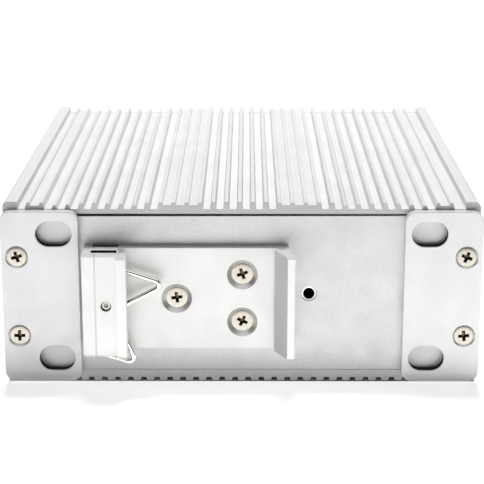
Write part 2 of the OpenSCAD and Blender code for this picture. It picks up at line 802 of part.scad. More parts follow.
module heat_spreader() {
    color([0.8, 0.8, 0.82]) difference() {
        union() {
            translate([spreader_x - spreader_t, spreader_y - spreader_l / 2, board_top])
                cube([spreader_t, spreader_l, spreader_top - board_top]);
            translate([spreader_x - spreader_w, spreader_y - spreader_l / 2,
                spreader_top - spreader_flange_t])
                cube([spreader_w, spreader_l, spreader_flange_t]);
        }
        spreader_screw_places() translate([0, 0, -spreader_t - 1])
            cylinder(h = spreader_t + 2, r = port_r);
    }
}

module roof_pad() {
    color([0.6, 0.7, 0.8]) translate([spreader_x - spreader_w, spreader_y - spreader_l / 2, spreader_top])
        cube([spreader_w, spreader_l, pad_t]);
}

module transistors() {
    color([0.15, 0.15, 0.15]) for (i = [0 : transistor_count - 1]) {
        y = spreader_y + (i - (transistor_count - 1) / 2) * transistor_pitch;
        translate([spreader_x, y - transistor_w / 2, transistor_z])
            cube([transistor_t, transistor_w, transistor_h]);
        for (k = [-1 : 1]) translate([spreader_x + 2, y + k * 2.54 - 0.4, board_top])
            cube([0.6, 0.8, transistor_leg + eps]);
    }
}

module transistor_clamp() {
    l = (transistor_count - 1) * transistor_pitch + transistor_w - 2;
    color([0.7, 0.7, 0.7]) difference() {
        translate([spreader_x + transistor_t, spreader_y - l / 2, clamp_z - clamp_w / 2])
            cube([clamp_t, l, clamp_w]);
        spreader_screw_places() cylinder(h = transistor_t + clamp_t + 1, r = screw_r + fit_gap);
    }
}

module clamp_screws() {
    color([0.8, 0.8, 0.8]) spreader_screw_places() translate([0, 0, transistor_t + clamp_t])
        pan_screw(transistor_t + clamp_t + spreader_t - 0.5);
}

module transformer_core() {
    color([0.2, 0.2, 0.22]) difference() {
        translate([core_x - core_t / 2, core_y - core_w / 2, core_z]) cube([core_t, core_w, core_h]);
        for (s = [-1, 1])
            translate([core_x - core_t / 2 - 1, core_y + s * (core_leg + window_w) / 2 - window_w / 2,
                core_z + core_yoke]) cube([core_t + 2, window_w, window_h]);
    }
}

// A hollow square tube round the transformer's middle leg.
module leg_sleeve(inset, thickness, z0, h) {
    x_in = core_t / 2 + inset;
    y_in = core_leg / 2 + inset;
    translate([core_x, core_y, z0]) difference() {
        translate([-x_in - thickness, -y_in - thickness, 0])
            cube([2 * (x_in + thickness), 2 * (y_in + thickness), h]);
        translate([-x_in, -y_in, -1]) cube([2 * x_in, 2 * y_in, h + 2]);
    }
}

module transformer_bobbin() {
    z0 = core_z + core_yoke + eps;
    h = window_h - 2 * eps;
    foot_l = bobbin_flange - bobbin_foot_gap;
    foot_w = core_leg + 2 * bobbin_flange;
    foot_x = core_t / 2 + bobbin_gap + bobbin_foot_gap;
    color([0.15, 0.15, 0.16]) {
        leg_sleeve(bobbin_gap, bobbin_t, z0, h);
        leg_sleeve(bobbin_gap, bobbin_flange, z0, bobbin_t);
        leg_sleeve(bobbin_gap, bobbin_flange, z0 + h - bobbin_t, bobbin_t);
        for (s = [-1, 1]) translate([core_x + s * (foot_x + foot_l / 2) - foot_l / 2, core_y - foot_w / 2,
            board_top]) cube([foot_l, foot_w, z0 - board_top + eps]);
    }
}

module transformer_winding() {
    z0 = core_z + core_yoke + eps + bobbin_t;
    color([0.85, 0.7, 0.2]) leg_sleeve(bobbin_gap + bobbin_t, bobbin_flange - bobbin_t - winding_gap, z0,
        window_h - 2 * eps - 2 * bobbin_t);
}

module storage_capacitors() {
    color([0.15, 0.2, 0.35]) for (i = [-1 : 1]) translate([cap_x + i * cap_pitch, cap_y, board_top])
        difference() {
            cylinder(h = cap_h, r = cap_r);
            // Rolled groove near the foot
            translate([0, 0, 1.5]) difference() {
                cylinder(h = 0.8, r = cap_r + 1);
                translate([0, 0, -1]) cylinder(h = 3, r = cap_r - 0.4);
            }
        }
}

module film_capacitor() {
    color([0.85, 0.6, 0.15]) translate([film_x - film_size[0] / 2, film_y - film_size[1] / 2, board_top])
        cube(film_size);
}

module choke_core() {
    color([0.3, 0.5, 0.35]) translate([choke_x, choke_y, board_top + choke_wire_t + choke_gap])
        difference() {
            cylinder(h = choke_h, r = choke_r);
            translate([0, 0, -1]) cylinder(h = choke_h + 2, r = choke_in_r);
        }
}

module choke_windings() {
    span_a = 130;
    l = choke_r - choke_in_r;
    color([0.75, 0.45, 0.2]) translate([choke_x, choke_y, board_top]) for (a = [0, 180])
        rotate([0, 0, a - span_a / 2]) rotate_extrude(angle = span_a) difference() {
            translate([choke_in_r - choke_wire_t, 0])
                square([l + 2 * choke_wire_t, choke_h + 2 * choke_wire_t + 2 * choke_gap]);
            translate([choke_in_r - choke_gap, choke_wire_t])
                square([l + 2 * choke_gap, choke_h + 2 * choke_gap]);
        }
}

module relay() {
    color([0.15, 0.3, 0.6]) translate([relay_x - relay_size[0] / 2, relay_y - relay_size[1] / 2, board_top])
        cube(relay_size);
}

module fuse_tube() {
    color([0.85, 0.85, 0.85]) translate([fuse_x - fuse_l / 2, fuse_y, fuse_z]) rotate([0, 90, 0])
        cylinder(h = fuse_l, r = fuse_r);
}

module fuse_clips() {
    clip_w = 5;
    jaw_w = 7;
    color([0.8, 0.75, 0.5]) for (s = [-1, 1]) difference() {
        translate([fuse_x + s * (fuse_l / 2 - clip_w / 2) - clip_w / 2, fuse_y - jaw_w / 2, board_top])
            cube([clip_w, jaw_w, fuse_z - board_top + 0.6 * fuse_r]);
        translate([fuse_x - fuse_l, fuse_y, fuse_z]) rotate([0, 90, 0])
            cylinder(h = 2 * fuse_l, r = fuse_r + 0.03);
        translate([fuse_x - fuse_l, fuse_y - 0.8 * fuse_r, fuse_z]) cube([2 * fuse_l, 1.6 * fuse_r, 10]);
    }
}

// ---- Front connections ----

module led_places() {
    for (i = [0 : 2]) translate([led_x, 0, led_z + (i - 1) * led_pitch]) children();
}

module led_holder() {
    top_z = led_z + led_pitch + led_r + 1;
    color([0.1, 0.1, 0.1]) translate([led_x - led_holder_w / 2, led_holder_y - led_holder_l, board_top])
        cube([led_holder_w, led_holder_l, top_z - board_top]);
}

module led_lenses() {
    l = front_y + front_t - led_holder_y;
    color([0.3, 0.8, 0.4]) led_places() translate([0, led_holder_y, 0]) rotate([-90, 0, 0]) {
        cylinder(h = l, r = led_r);
        translate([0, 0, l]) cylinder(h = 0.6, r1 = led_r, r2 = 0.6 * led_r);
    }
}

// Pole i of a terminal block, counted from its left end
function pole_x(x, poles, i) = x + (i - (poles - 1) / 2) * pole_pitch;

module terminal_socket(x, poles) {
    w = socket_w(poles);
    y1 = front_y + front_t;
    cavity_l = plug_in + 0.4;
    difference() {
        translate([x - w / 2, y1 - socket_l, board_top]) cube([w, socket_l, socket_h]);
        translate([x - w / 2 + socket_wall, y1 - cavity_l, board_top + socket_wall])
            cube([w - 2 * socket_wall, cavity_l + 1, socket_h - 2 * socket_wall]);
        for (i = [0 : poles - 1]) translate([pole_x(x, poles, i) - pin_w / 2 - 0.02, y1 - socket_l - 1,
            board_top + socket_h / 2 - pin_w / 2 - 0.02]) cube([pin_w + 0.04, socket_l, pin_w + 0.04]);
    }
}

module terminal_pins(x, poles) {
    y0 = front_y + front_t - socket_l - 1.5;
    for (i = [0 : poles - 1]) translate([pole_x(x, poles, i) - pin_w / 2, y0, 0]) {
        translate([0, 0, board_top + socket_h / 2 - pin_w / 2]) cube([pin_w, socket_l + 1.5 - 2, pin_w]);
        translate([0, 0, board_top]) cube([pin_w, pin_w, socket_h / 2]);
    }
}

module terminal_plug(x, poles) {
    w = socket_w(poles) - 2 * socket_wall - 2 * plug_gap;
    h = socket_h - 2 * socket_wall - 2 * plug_gap;
    y1 = front_y + front_t;
    z0 = board_top + socket_wall + plug_gap;
    difference() {
        union() {
            translate([x - w / 2, y1 - plug_in, z0]) cube([w, plug_in + plug_out, h]);
            translate([x - w / 2, y1 + plug_shoulder, z0])
                cube([w, plug_out - plug_shoulder, h + plug_crown]);
        }
        for (i = [0 : poles - 1]) translate([pole_x(x, poles, i), 0, 0]) {
            translate([-pin_w / 2 - fit_gap, y1 - plug_in - 1,
                board_top + socket_h / 2 - pin_w / 2 - fit_gap])
                cube([pin_w + 2 * fit_gap, plug_in, pin_w + 2 * fit_gap]);
            translate([0, y1 + plug_out + 1, board_top + socket_h / 2]) rotate([90, 0, 0])
                cylinder(h = plug_out - 1, r = wire_hole_r);
            translate([0, y1 + plug_out / 2, z0 + h + plug_crown - well_depth])
                cylinder(h = well_depth + 1, r = well_r);
        }
    }
}

module terminal_screws(x, poles) {
    h = socket_h - 2 * socket_wall - 2 * plug_gap;
    z = board_top + socket_wall + plug_gap + h + plug_crown - well_depth;
    screw_h = well_depth - clamp_screw_sink;
    slot_w = 0.6;
    slot_d = 0.8;
    for (i = [0 : poles - 1]) translate([pole_x(x, poles, i), front_y + front_t + plug_out / 2, z])
        difference() {
            cylinder(h = screw_h, r = clamp_screw_r);
            translate([-clamp_screw_r - 1, -slot_w / 2, screw_h - slot_d])
                cube([2 * clamp_screw_r + 2, slot_w, slot_d + 1]);
        }
}

module dc_socket() {
    color([0.2, 0.55, 0.3]) terminal_socket(dc_x, dc_poles);
}

module dc_pins() {
    color([0.85, 0.85, 0.85]) terminal_pins(dc_x, dc_poles);
}

module dc_plug() {
    color([0.2, 0.6, 0.32]) terminal_plug(dc_x, dc_poles);
}

module dc_plug_screws() {
    color([0.8, 0.8, 0.8]) terminal_screws(dc_x, dc_poles);
}

module ac_socket() {
    color([0.2, 0.55, 0.3]) terminal_socket(ac_x, ac_poles);
}

module ac_pins() {
    color([0.85, 0.85, 0.85]) terminal_pins(ac_x, ac_poles);
}

module ac_plug() {
    color([0.2, 0.6, 0.32]) terminal_plug(ac_x, ac_poles);
}

module ac_plug_screws() {
    color([0.8, 0.8, 0.8]) terminal_screws(ac_x, ac_poles);
}

module switch_body() {
    y1 = front_y + front_t + switch_flange;
    color([0.1, 0.1, 0.1]) difference() {
        union() {
            translate([switch_x - switch_w / 2, y1 - switch_depth, switch_z - switch_h / 2])
                cube([switch_w, switch_depth, switch_h]);
            translate([switch_x - switch_w / 2 - switch_rim, front_y + front_t,
                switch_z - switch_h / 2 - switch_rim])
                cube([switch_w + 2 * switch_rim, switch_flange, switch_h + 2 * switch_rim]);
        }
        translate([switch_x - switch_w / 2 + switch_wall, y1 - switch_depth + 2,
            switch_z - switch_h / 2 + switch_wall])
            cube([switch_w - 2 * switch_wall, switch_depth, switch_h - 2 * switch_wall]);
        rocker_axis() cylinder(h = switch_w, r = rocker_pin_r + turn_gap, center = true);
    }
}

// The rocker turns about this line, which runs across the body.
module rocker_axis() {
    translate([switch_x, front_y + front_t + switch_flange - rocker_axis_in, switch_z])
        rotate([0, 90, 0]) children();
}

module switch_rocker() {
    half_h = switch_h / 2 - switch_wall - 0.7;
    w = switch_w - 2 * switch_wall - 2 * fit_gap;
    color([0.12, 0.12, 0.12]) rocker_axis() rotate([0, 0, -rocker_tilt]) {
        linear_extrude(w, center = true) polygon([
            [-half_h, 1.2], [-half_h, 3.4], [-half_h + 0.4, 3.8], [0, 2.9], [half_h - 0.4, 3.8],
            [half_h, 3.4], [half_h, 1.2], [1.6, -1.2], [1.0, -2.6], [-1.0, -2.6], [-1.6, -1.2]]);
        cylinder(h = w + 2 * rocker_pin_l, r = rocker_pin_r, center = true);
    }
}

housing_top();
housing_base();
rear_panel();
front_panel();
left_ear();
right_ear();
ear_screws();
front_screws();
clip_body();
clip_screws();
clip_nuts();
clip_spring();
clip_pin();
ground_nut();
standoffs();
base_screws();
main_board();
board_screws();
heat_spreader();
roof_pad();
transistors();
transistor_clamp();
clamp_screws();
transformer_core();
transformer_bobbin();
transformer_winding();
storage_capacitors();
film_capacitor();
choke_core();
choke_windings();
relay();
fuse_tube();
fuse_clips();
control_board();
control_chips();
board_header();
led_holder();
led_lenses();
dc_socket();
dc_pins();
dc_plug();
dc_plug_screws();
ac_socket();
ac_pins();
ac_plug();
ac_plug_screws();
switch_body();
switch_rocker();
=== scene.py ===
import math

import bmesh
import bpy
from mathutils import Matrix, Vector


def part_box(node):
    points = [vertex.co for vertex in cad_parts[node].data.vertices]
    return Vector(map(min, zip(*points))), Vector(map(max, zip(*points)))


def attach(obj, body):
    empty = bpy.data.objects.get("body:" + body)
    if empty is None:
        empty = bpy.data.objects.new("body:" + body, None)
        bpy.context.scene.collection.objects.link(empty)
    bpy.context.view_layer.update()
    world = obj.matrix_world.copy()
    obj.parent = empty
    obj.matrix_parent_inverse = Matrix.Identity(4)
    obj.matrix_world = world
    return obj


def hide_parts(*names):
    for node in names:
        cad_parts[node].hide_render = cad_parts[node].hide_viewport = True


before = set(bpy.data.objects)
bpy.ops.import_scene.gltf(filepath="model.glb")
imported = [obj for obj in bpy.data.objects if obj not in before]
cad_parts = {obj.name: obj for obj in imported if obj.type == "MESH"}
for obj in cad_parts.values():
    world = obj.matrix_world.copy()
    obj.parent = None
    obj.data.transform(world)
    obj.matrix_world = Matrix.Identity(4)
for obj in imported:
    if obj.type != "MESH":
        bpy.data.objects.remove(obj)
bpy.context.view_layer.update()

# ---------------------------------------------------------------- sizes, in mm
MM = 0.001


def mm_box(node):
    lo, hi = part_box(node)
    return lo / MM, hi / MM


top_lo, top_hi = mm_box("housing_top")
base_hi = mm_box("housing_base")[1]
panel_lo, panel_hi = mm_box("rear_panel")
front_lo, front_hi = mm_box("front_panel")
ear_lo, ear_hi = mm_box("left_ear")
ear_screw_lo, ear_screw_hi = mm_box("ear_screws")
clip_lo, clip_hi = mm_box("clip_body")
clip_screw_lo, clip_screw_hi = mm_box("clip_screws")
pin_lo, pin_hi = mm_box("clip_pin")
nut_lo, nut_hi = mm_box("ground_nut")

REAR_Y = panel_lo.y
FRONT_Y = top_hi.y
HALF_W = top_hi.x
BODY_L = top_hi.y - top_lo.y
BODY_H = top_hi.z

FIN_H = 1.6
FIN_PITCH = 2.858
FIN_SHIFT = -0.43
FIN_TIP_W = 0.88
FIN_ROOT_W = 1.38
FIN_EDGE_TIP_W = 0.55
FIN_LAST = 16
FIN_EDGE = 15
FIN_DOMED = (8, 14)
EDGE_WEB = 0.48
CHANNEL_WEB = 0.55
FIN_SHARE = [1, 1, 1, 0.9, 0.9, 0.9, 0.9, 0.9, 0.5, 0.68, 0.81, 0.9, 0.8, 0.66, 0.53, 0.88, 0.88]
ROOF_T = 1.15
ROOF_TOP = BODY_H - FIN_H
ROOF_Z = ROOF_TOP - ROOF_T
WALL_T = 2.2
CORNER_W = 3.3
CORNER_R = (1.0, 1.5)

EAR_W = ear_hi.x - ear_lo.x
EAR_H = ear_hi.z - ear_lo.z
EAR_T = ear_hi.y - ear_lo.y
EAR_MID_Z = (ear_lo.z + ear_hi.z) / 2
EAR_CORNER_R = 2.2
SLOT_L = 7.8
SLOT_W = 5.6
SLOT_IN = 5.3
SLOT_PITCH = 28.4
HOLE_LIFT = 0.2
EAR_HEAD_R = 2.28
EAR_SINK = 0.15
SCREW_R = 1.2
HOLE_R = 1.35
HEAD_RIM = 0.12
PORT_X = ear_screw_hi.x - EAR_HEAD_R
PORT_PITCH = (ear_screw_hi.z - ear_screw_lo.z) - 2 * EAR_HEAD_R
PORT_Z = (ear_screw_hi.z + ear_screw_lo.z) / 2

CLIP_MID_Z = (clip_lo.z + clip_hi.z) / 2
CLIP_H = clip_hi.z - clip_lo.z
CLIP_X = clip_lo.x
CLIP_END = clip_hi.x
PLATE_T = 2.2
BLOCK_D = 8.0
LIP_D = 9.5
LIP_W = 2.2
LIP_TIP = CLIP_X + 9.6
SLOT_X = CLIP_X + 1.9
SLOT_FLOOR = 4.1
SLOT_TOP = 6.0
RELIEF_D = 1.4
HOOK_D = REAR_Y - clip_lo.y
HOOK_TIP = CLIP_END - 4.5
HOOK_UNDER = 2.2
HOOK_GAP = 1.6
HOOK_NECK = CLIP_END - 1.3
HOOK_RAMP = CLIP_END - 1.7
SCORE_X = CLIP_X + 2.8
CLIP_HEAD_R = 2.38
CUP_R = 3.33
CUP_SINK = CUP_R - CLIP_HEAD_R - HEAD_RIM
SINGLE_X = clip_screw_lo.x + CLIP_HEAD_R
PAIR_X = clip_screw_hi.x - CLIP_HEAD_R
PAIR_DZ = (clip_screw_hi.z - clip_screw_lo.z) / 2 - CLIP_HEAD_R
PIN_X = (pin_lo.x + pin_hi.x) / 2
PIN_R = (pin_hi.x - pin_lo.x) / 2
PIN_SINK = 0.7
WIRE_R = 0.58
NUT_X = (nut_lo.x + nut_hi.x) / 2
NUT_Z = (nut_lo.z + nut_hi.z) / 2


# ---------------------------------------------------------------- places
def place(x_axis, y_axis, z_axis, origin):
    m = Matrix((x_axis, y_axis, z_axis)).transposed().to_4x4()
    m.translation = Vector(origin)
    return Matrix.Scale(MM, 4) @ m


def out_of_rear(x, z, d=0.0):
    """Local x is right, y is up and z comes out of the rear face."""
    return place((1, 0, 0), (0, 0, 1), (0, -1, 0), (x, REAR_Y - d, z))


def out_of_front(x, z, d=0.0):
    return place((-1, 0, 0), (0, 0, 1), (0, 1, 0), (x, FRONT_Y + d, z))


def out_of_base(x, y, d=0.0):
    return place((1, 0, 0), (0, -1, 0), (0, 0, -1), (x, y, -d))


def upright(x, y, z):
    return place((1, 0, 0), (0, 1, 0), (0, 0, 1), (x, y, z))


# ---------------------------------------------------------------- outlines
def arc(cx, cy, r, a0, a1, n):
    return [
        (
            cx + r * math.cos(math.radians(a0 + (a1 - a0) * i / n)),
            cy + r * math.sin(math.radians(a0 + (a1 - a0) * i / n))
        )
        for i in range(n + 1)
    ]


def circle(cx, cy, r, n=48):
    return arc(cx, cy, r, 0, 360, n)[:-1]


def rounded(points, radii, n=4):
    """The polygon with each corner replaced by an arc of that corner's radius."""
    out = []
    count = len(points)
    if not hasattr(radii, "__len__"):
        radii = [radii] * count
    for i in range(count):
        p = Vector(points[i])
        a = Vector(points[i - 1]) - p
        b = Vector(points[(i + 1) % count]) - p
        r = radii[i]
        la, lb = a.length, b.length
        a.normalize()
        b.normalize()
        half = a.angle(b) / 2
        if r <= 0 or half > math.radians(88):
            out.append(tuple(p))
            continue
        t = min(r / math.tan(half), 0.48 * la, 0.48 * lb)
        r = t * math.tan(half)
        mid = (a + b).normalized()
        c = p + mid * (r / math.sin(half))
        s, e = p + a * t - c, p + b * t - c
        a0 = math.atan2(s.y, s.x)
        turn = math.atan2(s.x * e.y - s.y * e.x, s.dot(e))
        for k in range(n + 1):
            w = a0 + turn * k / n
            out.append((c.x + r * math.cos(w), c.y + r * math.sin(w)))
    return out


def rounded_rect(w, h, r, cx=0.0, cy=0.0, n=8):
    pts = [
        (cx - w / 2, cy - h / 2), (cx + w / 2, cy - h / 2), (cx + w / 2, cy + h / 2),
        (cx - w / 2, cy + h / 2)
    ]
    return rounded(pts, r, n)


def oblong(length, w, cx=0.0, cy=0.0, n=16):
    half = (length - w) / 2
    return arc(cx + half, cy, w / 2, -90, 90, n) + arc(cx - half, cy, w / 2, 90, 270, n)


# ---------------------------------------------------------------- meshes, built in mm
def mesh_from(bm, name="made"):
    mesh = bpy.data.meshes.new(name)
    bm.to_mesh(mesh)
    bm.free()
    return mesh


def cleaned(mesh, merge=1e-4):
    bm = bmesh.new()
    bm.from_mesh(mesh)
    bmesh.ops.remove_doubles(bm, verts=bm.verts, dist=merge)
    bmesh.ops.dissolve_degenerate(bm, edges=bm.edges, dist=1e-5)
    bmesh.ops.recalc_face_normals(bm, faces=bm.faces)
    bm.to_mesh(mesh)
    bm.free()
    return mesh


def evaluated_mesh(obj):
    bpy.context.view_layer.update()
    dg = bpy.context.evaluated_depsgraph_get()
    return bpy.data.meshes.new_from_object(obj.evaluated_get(dg))


def plate(loops, depth, bevel=0.15, steps=2, z0=0.0):
    """A flat body with these outlines, from z0 up to z0 + depth, with rounded edges."""
    data = bpy.data.curves.new("tmp", "CURVE")
    data.dimensions = "2D"
    data.fill_mode = "BOTH"
    data.extrude = depth / 2 - bevel
    data.bevel_depth = bevel
    data.bevel_resolution = steps
    data.offset = -bevel
    for loop in loops:
        spline = data.splines.new("POLY")
        spline.points.add(len(loop) - 1)
        for point, (x, y) in zip(spline.points, loop):
            point.co = (x, y, 0, 1)
        spline.use_cyclic_u = True
    obj = bpy.data.objects.new("tmp", data)
    bpy.context.scene.collection.objects.link(obj)
    mesh = evaluated_mesh(obj)
    bpy.data.objects.remove(obj)
    bpy.data.curves.remove(data)
    mesh.materials.clear()
    mesh.transform(Matrix.Translation((0, 0, z0 + depth / 2)))
    return cleaned(mesh)


def lathe(profile, n=64):
    """Turns (radius, height) points about z. A radius of 0 closes the shape."""
    bm = bmesh.new()
    rings = []
    for r, z in profile:
        if r < 1e-6:
            rings.append([bm.verts.new((0, 0, z))])
        else:
            rings.append(
                [
                    bm.verts.new(
                        (r * math.cos(2 * math.pi * k / n), r * math.sin(2 * math.pi * k / n), z)
                    )
                    for k in range(n)
                ]
            )
    for lower, upper in zip(rings, rings[1:]):
        for k in range(n):
            a, b = lower[k % len(lower)], lower[(k + 1) % len(lower)]
            c, d = upper[(k + 1) % len(upper)], upper[k % len(upper)]
            corners = []
            for v in (a, b, c, d):
                if v not in corners:
                    corners.append(v)
            if len(corners) > 2:
                bm.faces.new(corners)
    bmesh.ops.recalc_face_normals(bm, faces=bm.faces)
    return mesh_from(bm)


def loft(loops):
    """Joins outlines of equal length, each given with its height, and caps the two ends."""
    bm = bmesh.new()
    rings = [[bm.verts.new((x, y, z)) for x, y in loop] for loop, z in loops]
    for lower, upper in zip(rings, rings[1:]):
        n = len(lower)
        for k in range(n):
            bm.faces.new((lower[k], lower[(k + 1) % n], upper[(k + 1) % n], upper[k]))
    bm.faces.new(list(reversed(rings[0])))
    bm.faces.new(rings[-1])
    bmesh.ops.recalc_face_normals(bm, faces=bm.faces)
    return mesh_from(bm)


def block(lo, hi, bevel=0.0, steps=2):
    bm = bmesh.new()
    bmesh.ops.create_cube(bm, size=1)
    size = Vector(hi) - Vector(lo)
    bmesh.ops.scale(bm, vec=size, verts=bm.verts)
    bmesh.ops.translate(bm, vec=(Vector(hi) + Vector(lo)) / 2, verts=bm.verts)
    if bevel:
        bmesh.ops.bevel(bm, geom=list(bm.edges), offset=bevel, segments=steps, profile=0.5, affect="EDGES")
    return mesh_from(bm)


def tube(points, r, sides=20):
    """A round wire along these points."""
    data = bpy.data.curves.new("tmp", "CURVE")
    data.dimensions = "3D"
    data.bevel_depth = r
    data.bevel_resolution = sides // 4
    data.use_fill_caps = True
    spline = data.splines.new("POLY")
    spline.points.add(len(points) - 1)
    for point, co in zip(spline.points, points):
        point.co = (*co, 1)
    obj = bpy.data.objects.new("tmp", data)
    bpy.context.scene.collection.objects.link(obj)
    mesh = evaluated_mesh(obj)
    bpy.data.objects.remove(obj)
    bpy.data.curves.remove(data)
    mesh.materials.clear()
    return cleaned(mesh)


def moved(mesh, matrix):
    out = mesh.copy()
    out.transform(matrix)
    if matrix.determinant() < 0:
        out.flip_normals()
    return out


def joined(meshes):
    bm = bmesh.new()
    for m in meshes:
        bm.from_mesh(m)
    return mesh_from(bm)


def cut(mesh, cutters):
    """The mesh with every cutter taken away by exact booleans."""
    obj = bpy.data.objects.new("tmp", mesh)
    bpy.context.scene.collection.objects.link(obj)
    others = []
    for c in cutters:
        other = bpy.data.objects.new("tmp_cutter", c)
        bpy.context.scene.collection.objects.link(other)
        modifier = obj.modifiers.new("cut", "BOOLEAN")
        modifier.operation = "DIFFERENCE"
        modifier.solver = "EXACT"
        modifier.object = other
        others.append(other)
    out = evaluated_mesh(obj)
    for o in [obj, *others]:
        bpy.data.objects.remove(o)
    return out


def edge_class(normal, axis):
    c = abs(normal[axis])
    return 2 if c > 0.9995 else 0 if c < 0.0005 else 1


def smoothed(mesh, angle=35, axis=None):
    """Smooth shading; edges are sharp by angle and, along the axis, where a cap or side meets a bevel."""
    bm = bmesh.new()
    bm.from_mesh(mesh)
    limit = math.radians(angle)
    for f in bm.faces:
        f.smooth = True
    for e in bm.edges:
        sharp = True
        if len(e.link_faces) == 2:
            a, b = e.link_faces
            sharp = e.calc_face_angle(0.0) > limit
            if axis is not None and not sharp:
                sharp = edge_class(a.normal, axis) != edge_class(b.normal, axis)
        e.smooth = not sharp
    bm.to_mesh(mesh)
    bm.free()
    return mesh


def mark(mesh, index, test):
    """Gives the faces for which test(centre, normal) holds this material index."""
    for p in mesh.polygons:
        if test(p.center, p.normal):
            p.material_index = index
    return mesh


def piece(name, mesh, matrix, material, body="housing", replaces=(), angle=35, axis=None):
    """Places a mesh made in mm, shades it and ties it to a body."""
    smoothed(mesh, angle, axis)
    mesh.transform(matrix)
    if matrix.determinant() < 0:
        mesh.flip_normals()
    mesh.name = name
    obj = bpy.data.objects.new(name, mesh)
    bpy.context.scene.collection.objects.link(obj)
    for m in material if isinstance(material, (list, tuple)) else [material]:
        mesh.materials.append(m)
    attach(obj, body)
    if replaces:
        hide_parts(*replaces)
    return obj


# ---------------------------------------------------------------- materials
class Shader:
    """A principled material with short helpers for its nodes."""

    def __init__(self, name, color, metallic=0.0, rough=0.5, **sockets):
        self.mat = bpy.data.materials.new(name)
        self.mat.use_nodes = True
        self.tree = self.mat.node_tree
        self.bsdf = self.tree.nodes["Principled BSDF"]
        self.color = (*color, 1.0)
        self.bsdf.inputs["Base Color"].default_value = self.color
        self.bsdf.inputs["Metallic"].default_value = metallic
        self.bsdf.inputs["Roughness"].default_value = rough
        for key, value in sockets.items():
            self.bsdf.inputs[key.replace("_", " ")].default_value = value
        self.rough = rough
        self.coords = self.node("ShaderNodeTexCoord").outputs["Object"]
        self.height = None

    def node(self, kind, **inputs):
        n = self.tree.nodes.new(kind)
        for key, value in inputs.items():
            n.inputs[key.replace("_", " ")].default_value = value
        return n

    def link(self, a, b):
        self.tree.links.new(a, b)

    def mapped(self, stretch):
        m = self.node("ShaderNodeMapping")
        self.link(self.coords, m.inputs["Vector"])
        m.inputs["Scale"].default_value = stretch
        return m.outputs["Vector"]

    def noise(self, size_mm, stretch=(1, 1, 1), detail=3.0, rough=0.55, offset=0.0):
        """Noise whose features are about size_mm across, drawn out where stretch is below 1."""
        n = self.node("ShaderNodeTexNoise", Scale=1000.0 / size_mm, Detail=detail, Roughness=rough)
        v = self.mapped(stretch)
        if offset:
            add = self.node("ShaderNodeVectorMath")
            add.operation = "ADD"
            self.link(v, add.inputs[0])
            add.inputs[1].default_value = (offset, offset * 0.7, offset * 1.3)
            v = add.outputs["Vector"]
        self.link(v, n.inputs["Vector"])
        return n.outputs["Fac"]

    def ranged(self, fac, lo, hi, from_lo=0.3, from_hi=0.7):
        n = self.node("ShaderNodeMapRange", From_Min=from_lo, From_Max=from_hi, To_Min=lo, To_Max=hi)
        self.link(fac, n.inputs["Value"])
        return n.outputs["Result"]

    def shade(self, fac, lo, hi):
        """Multiplies the colour by lo where the pattern is low and hi where it is high."""
        value = self.ranged(fac, lo, hi)
        mix = self.node("ShaderNodeVectorMath")
        mix.operation = "SCALE"
        source = self.bsdf.inputs["Base Color"]
        if source.is_linked:
            self.link(source.links[0].from_socket, mix.inputs[0])
        else:
            mix.inputs[0].default_value = self.color[:3]
        self.link(value, mix.inputs["Scale"])
        self.link(mix.outputs["Vector"], source)

    def gloss(self, fac, swing):
        self.link(self.ranged(fac, self.rough - swing, self.rough + swing), self.bsdf.inputs["Roughness"])

    def bump(self, fac, depth_mm, strength=1.0):
        n = self.node("ShaderNodeBump", Strength=strength, Distance=depth_mm * MM)
        self.link(fac, n.inputs["Height"])
        if self.height is not None:
            self.link(self.height, n.inputs["Normal"])
        self.height = n.outputs["Normal"]
        self.link(self.height, self.bsdf.inputs["Normal"])


def anodised(
    name, color, rough=0.42, metallic=0.75, streak=None, streak_mm=0.5, contrast=0.05, grain=0.004,
    blotch=0.03
):
    """Blasted and anodised aluminium; streak is the direction of die or saw lines."""
    s = Shader(name, color, metallic, rough)
    clouds = s.noise(9.0, detail=2.0)
    s.shade(clouds, 1 - blotch, 1 + blotch)
    s.gloss(s.noise(4.0, offset=3.1), 0.05)
    if streak:
        lines = s.noise(streak_mm, streak, detail=4.0, rough=0.7)
        s.shade(lines, 1 - contrast, 1 + contrast)
        s.bump(lines, 0.006)
    s.bump(s.noise(0.16, detail=2.0, rough=0.6, offset=1.7), grain)
    return s.mat


def plain_metal(name, color, rough=0.25, metallic=1.0, contrast=0.06, tint_mm=1.2, grain=0.002):
    s = Shader(name, color, metallic, rough)
    s.shade(s.noise(tint_mm, detail=4.0), 1 - contrast, 1 + contrast)
    s.gloss(s.noise(0.6, offset=2.3), 0.08)
    s.bump(s.noise(0.12, detail=2.0, offset=0.9), grain)
    return s.mat


def plastic(name, color, rough=0.45, contrast=0.05, texture_mm=0.25, depth=0.006, **sockets):
    s = Shader(name, color, 0.0, rough, **sockets)
    s.shade(s.noise(6.0, detail=3.0), 1 - contrast, 1 + contrast)
    s.gloss(s.noise(1.5, offset=4.7), 0.05)
    s.bump(s.noise(texture_mm, detail=2.0, offset=1.1), depth)
    return s.mat


ALONG_Y = (1.0, 0.02, 1.0)
ALONG_X = (0.03, 1.0, 1.0)
ALONG_Z = (1.0, 1.0, 0.02)

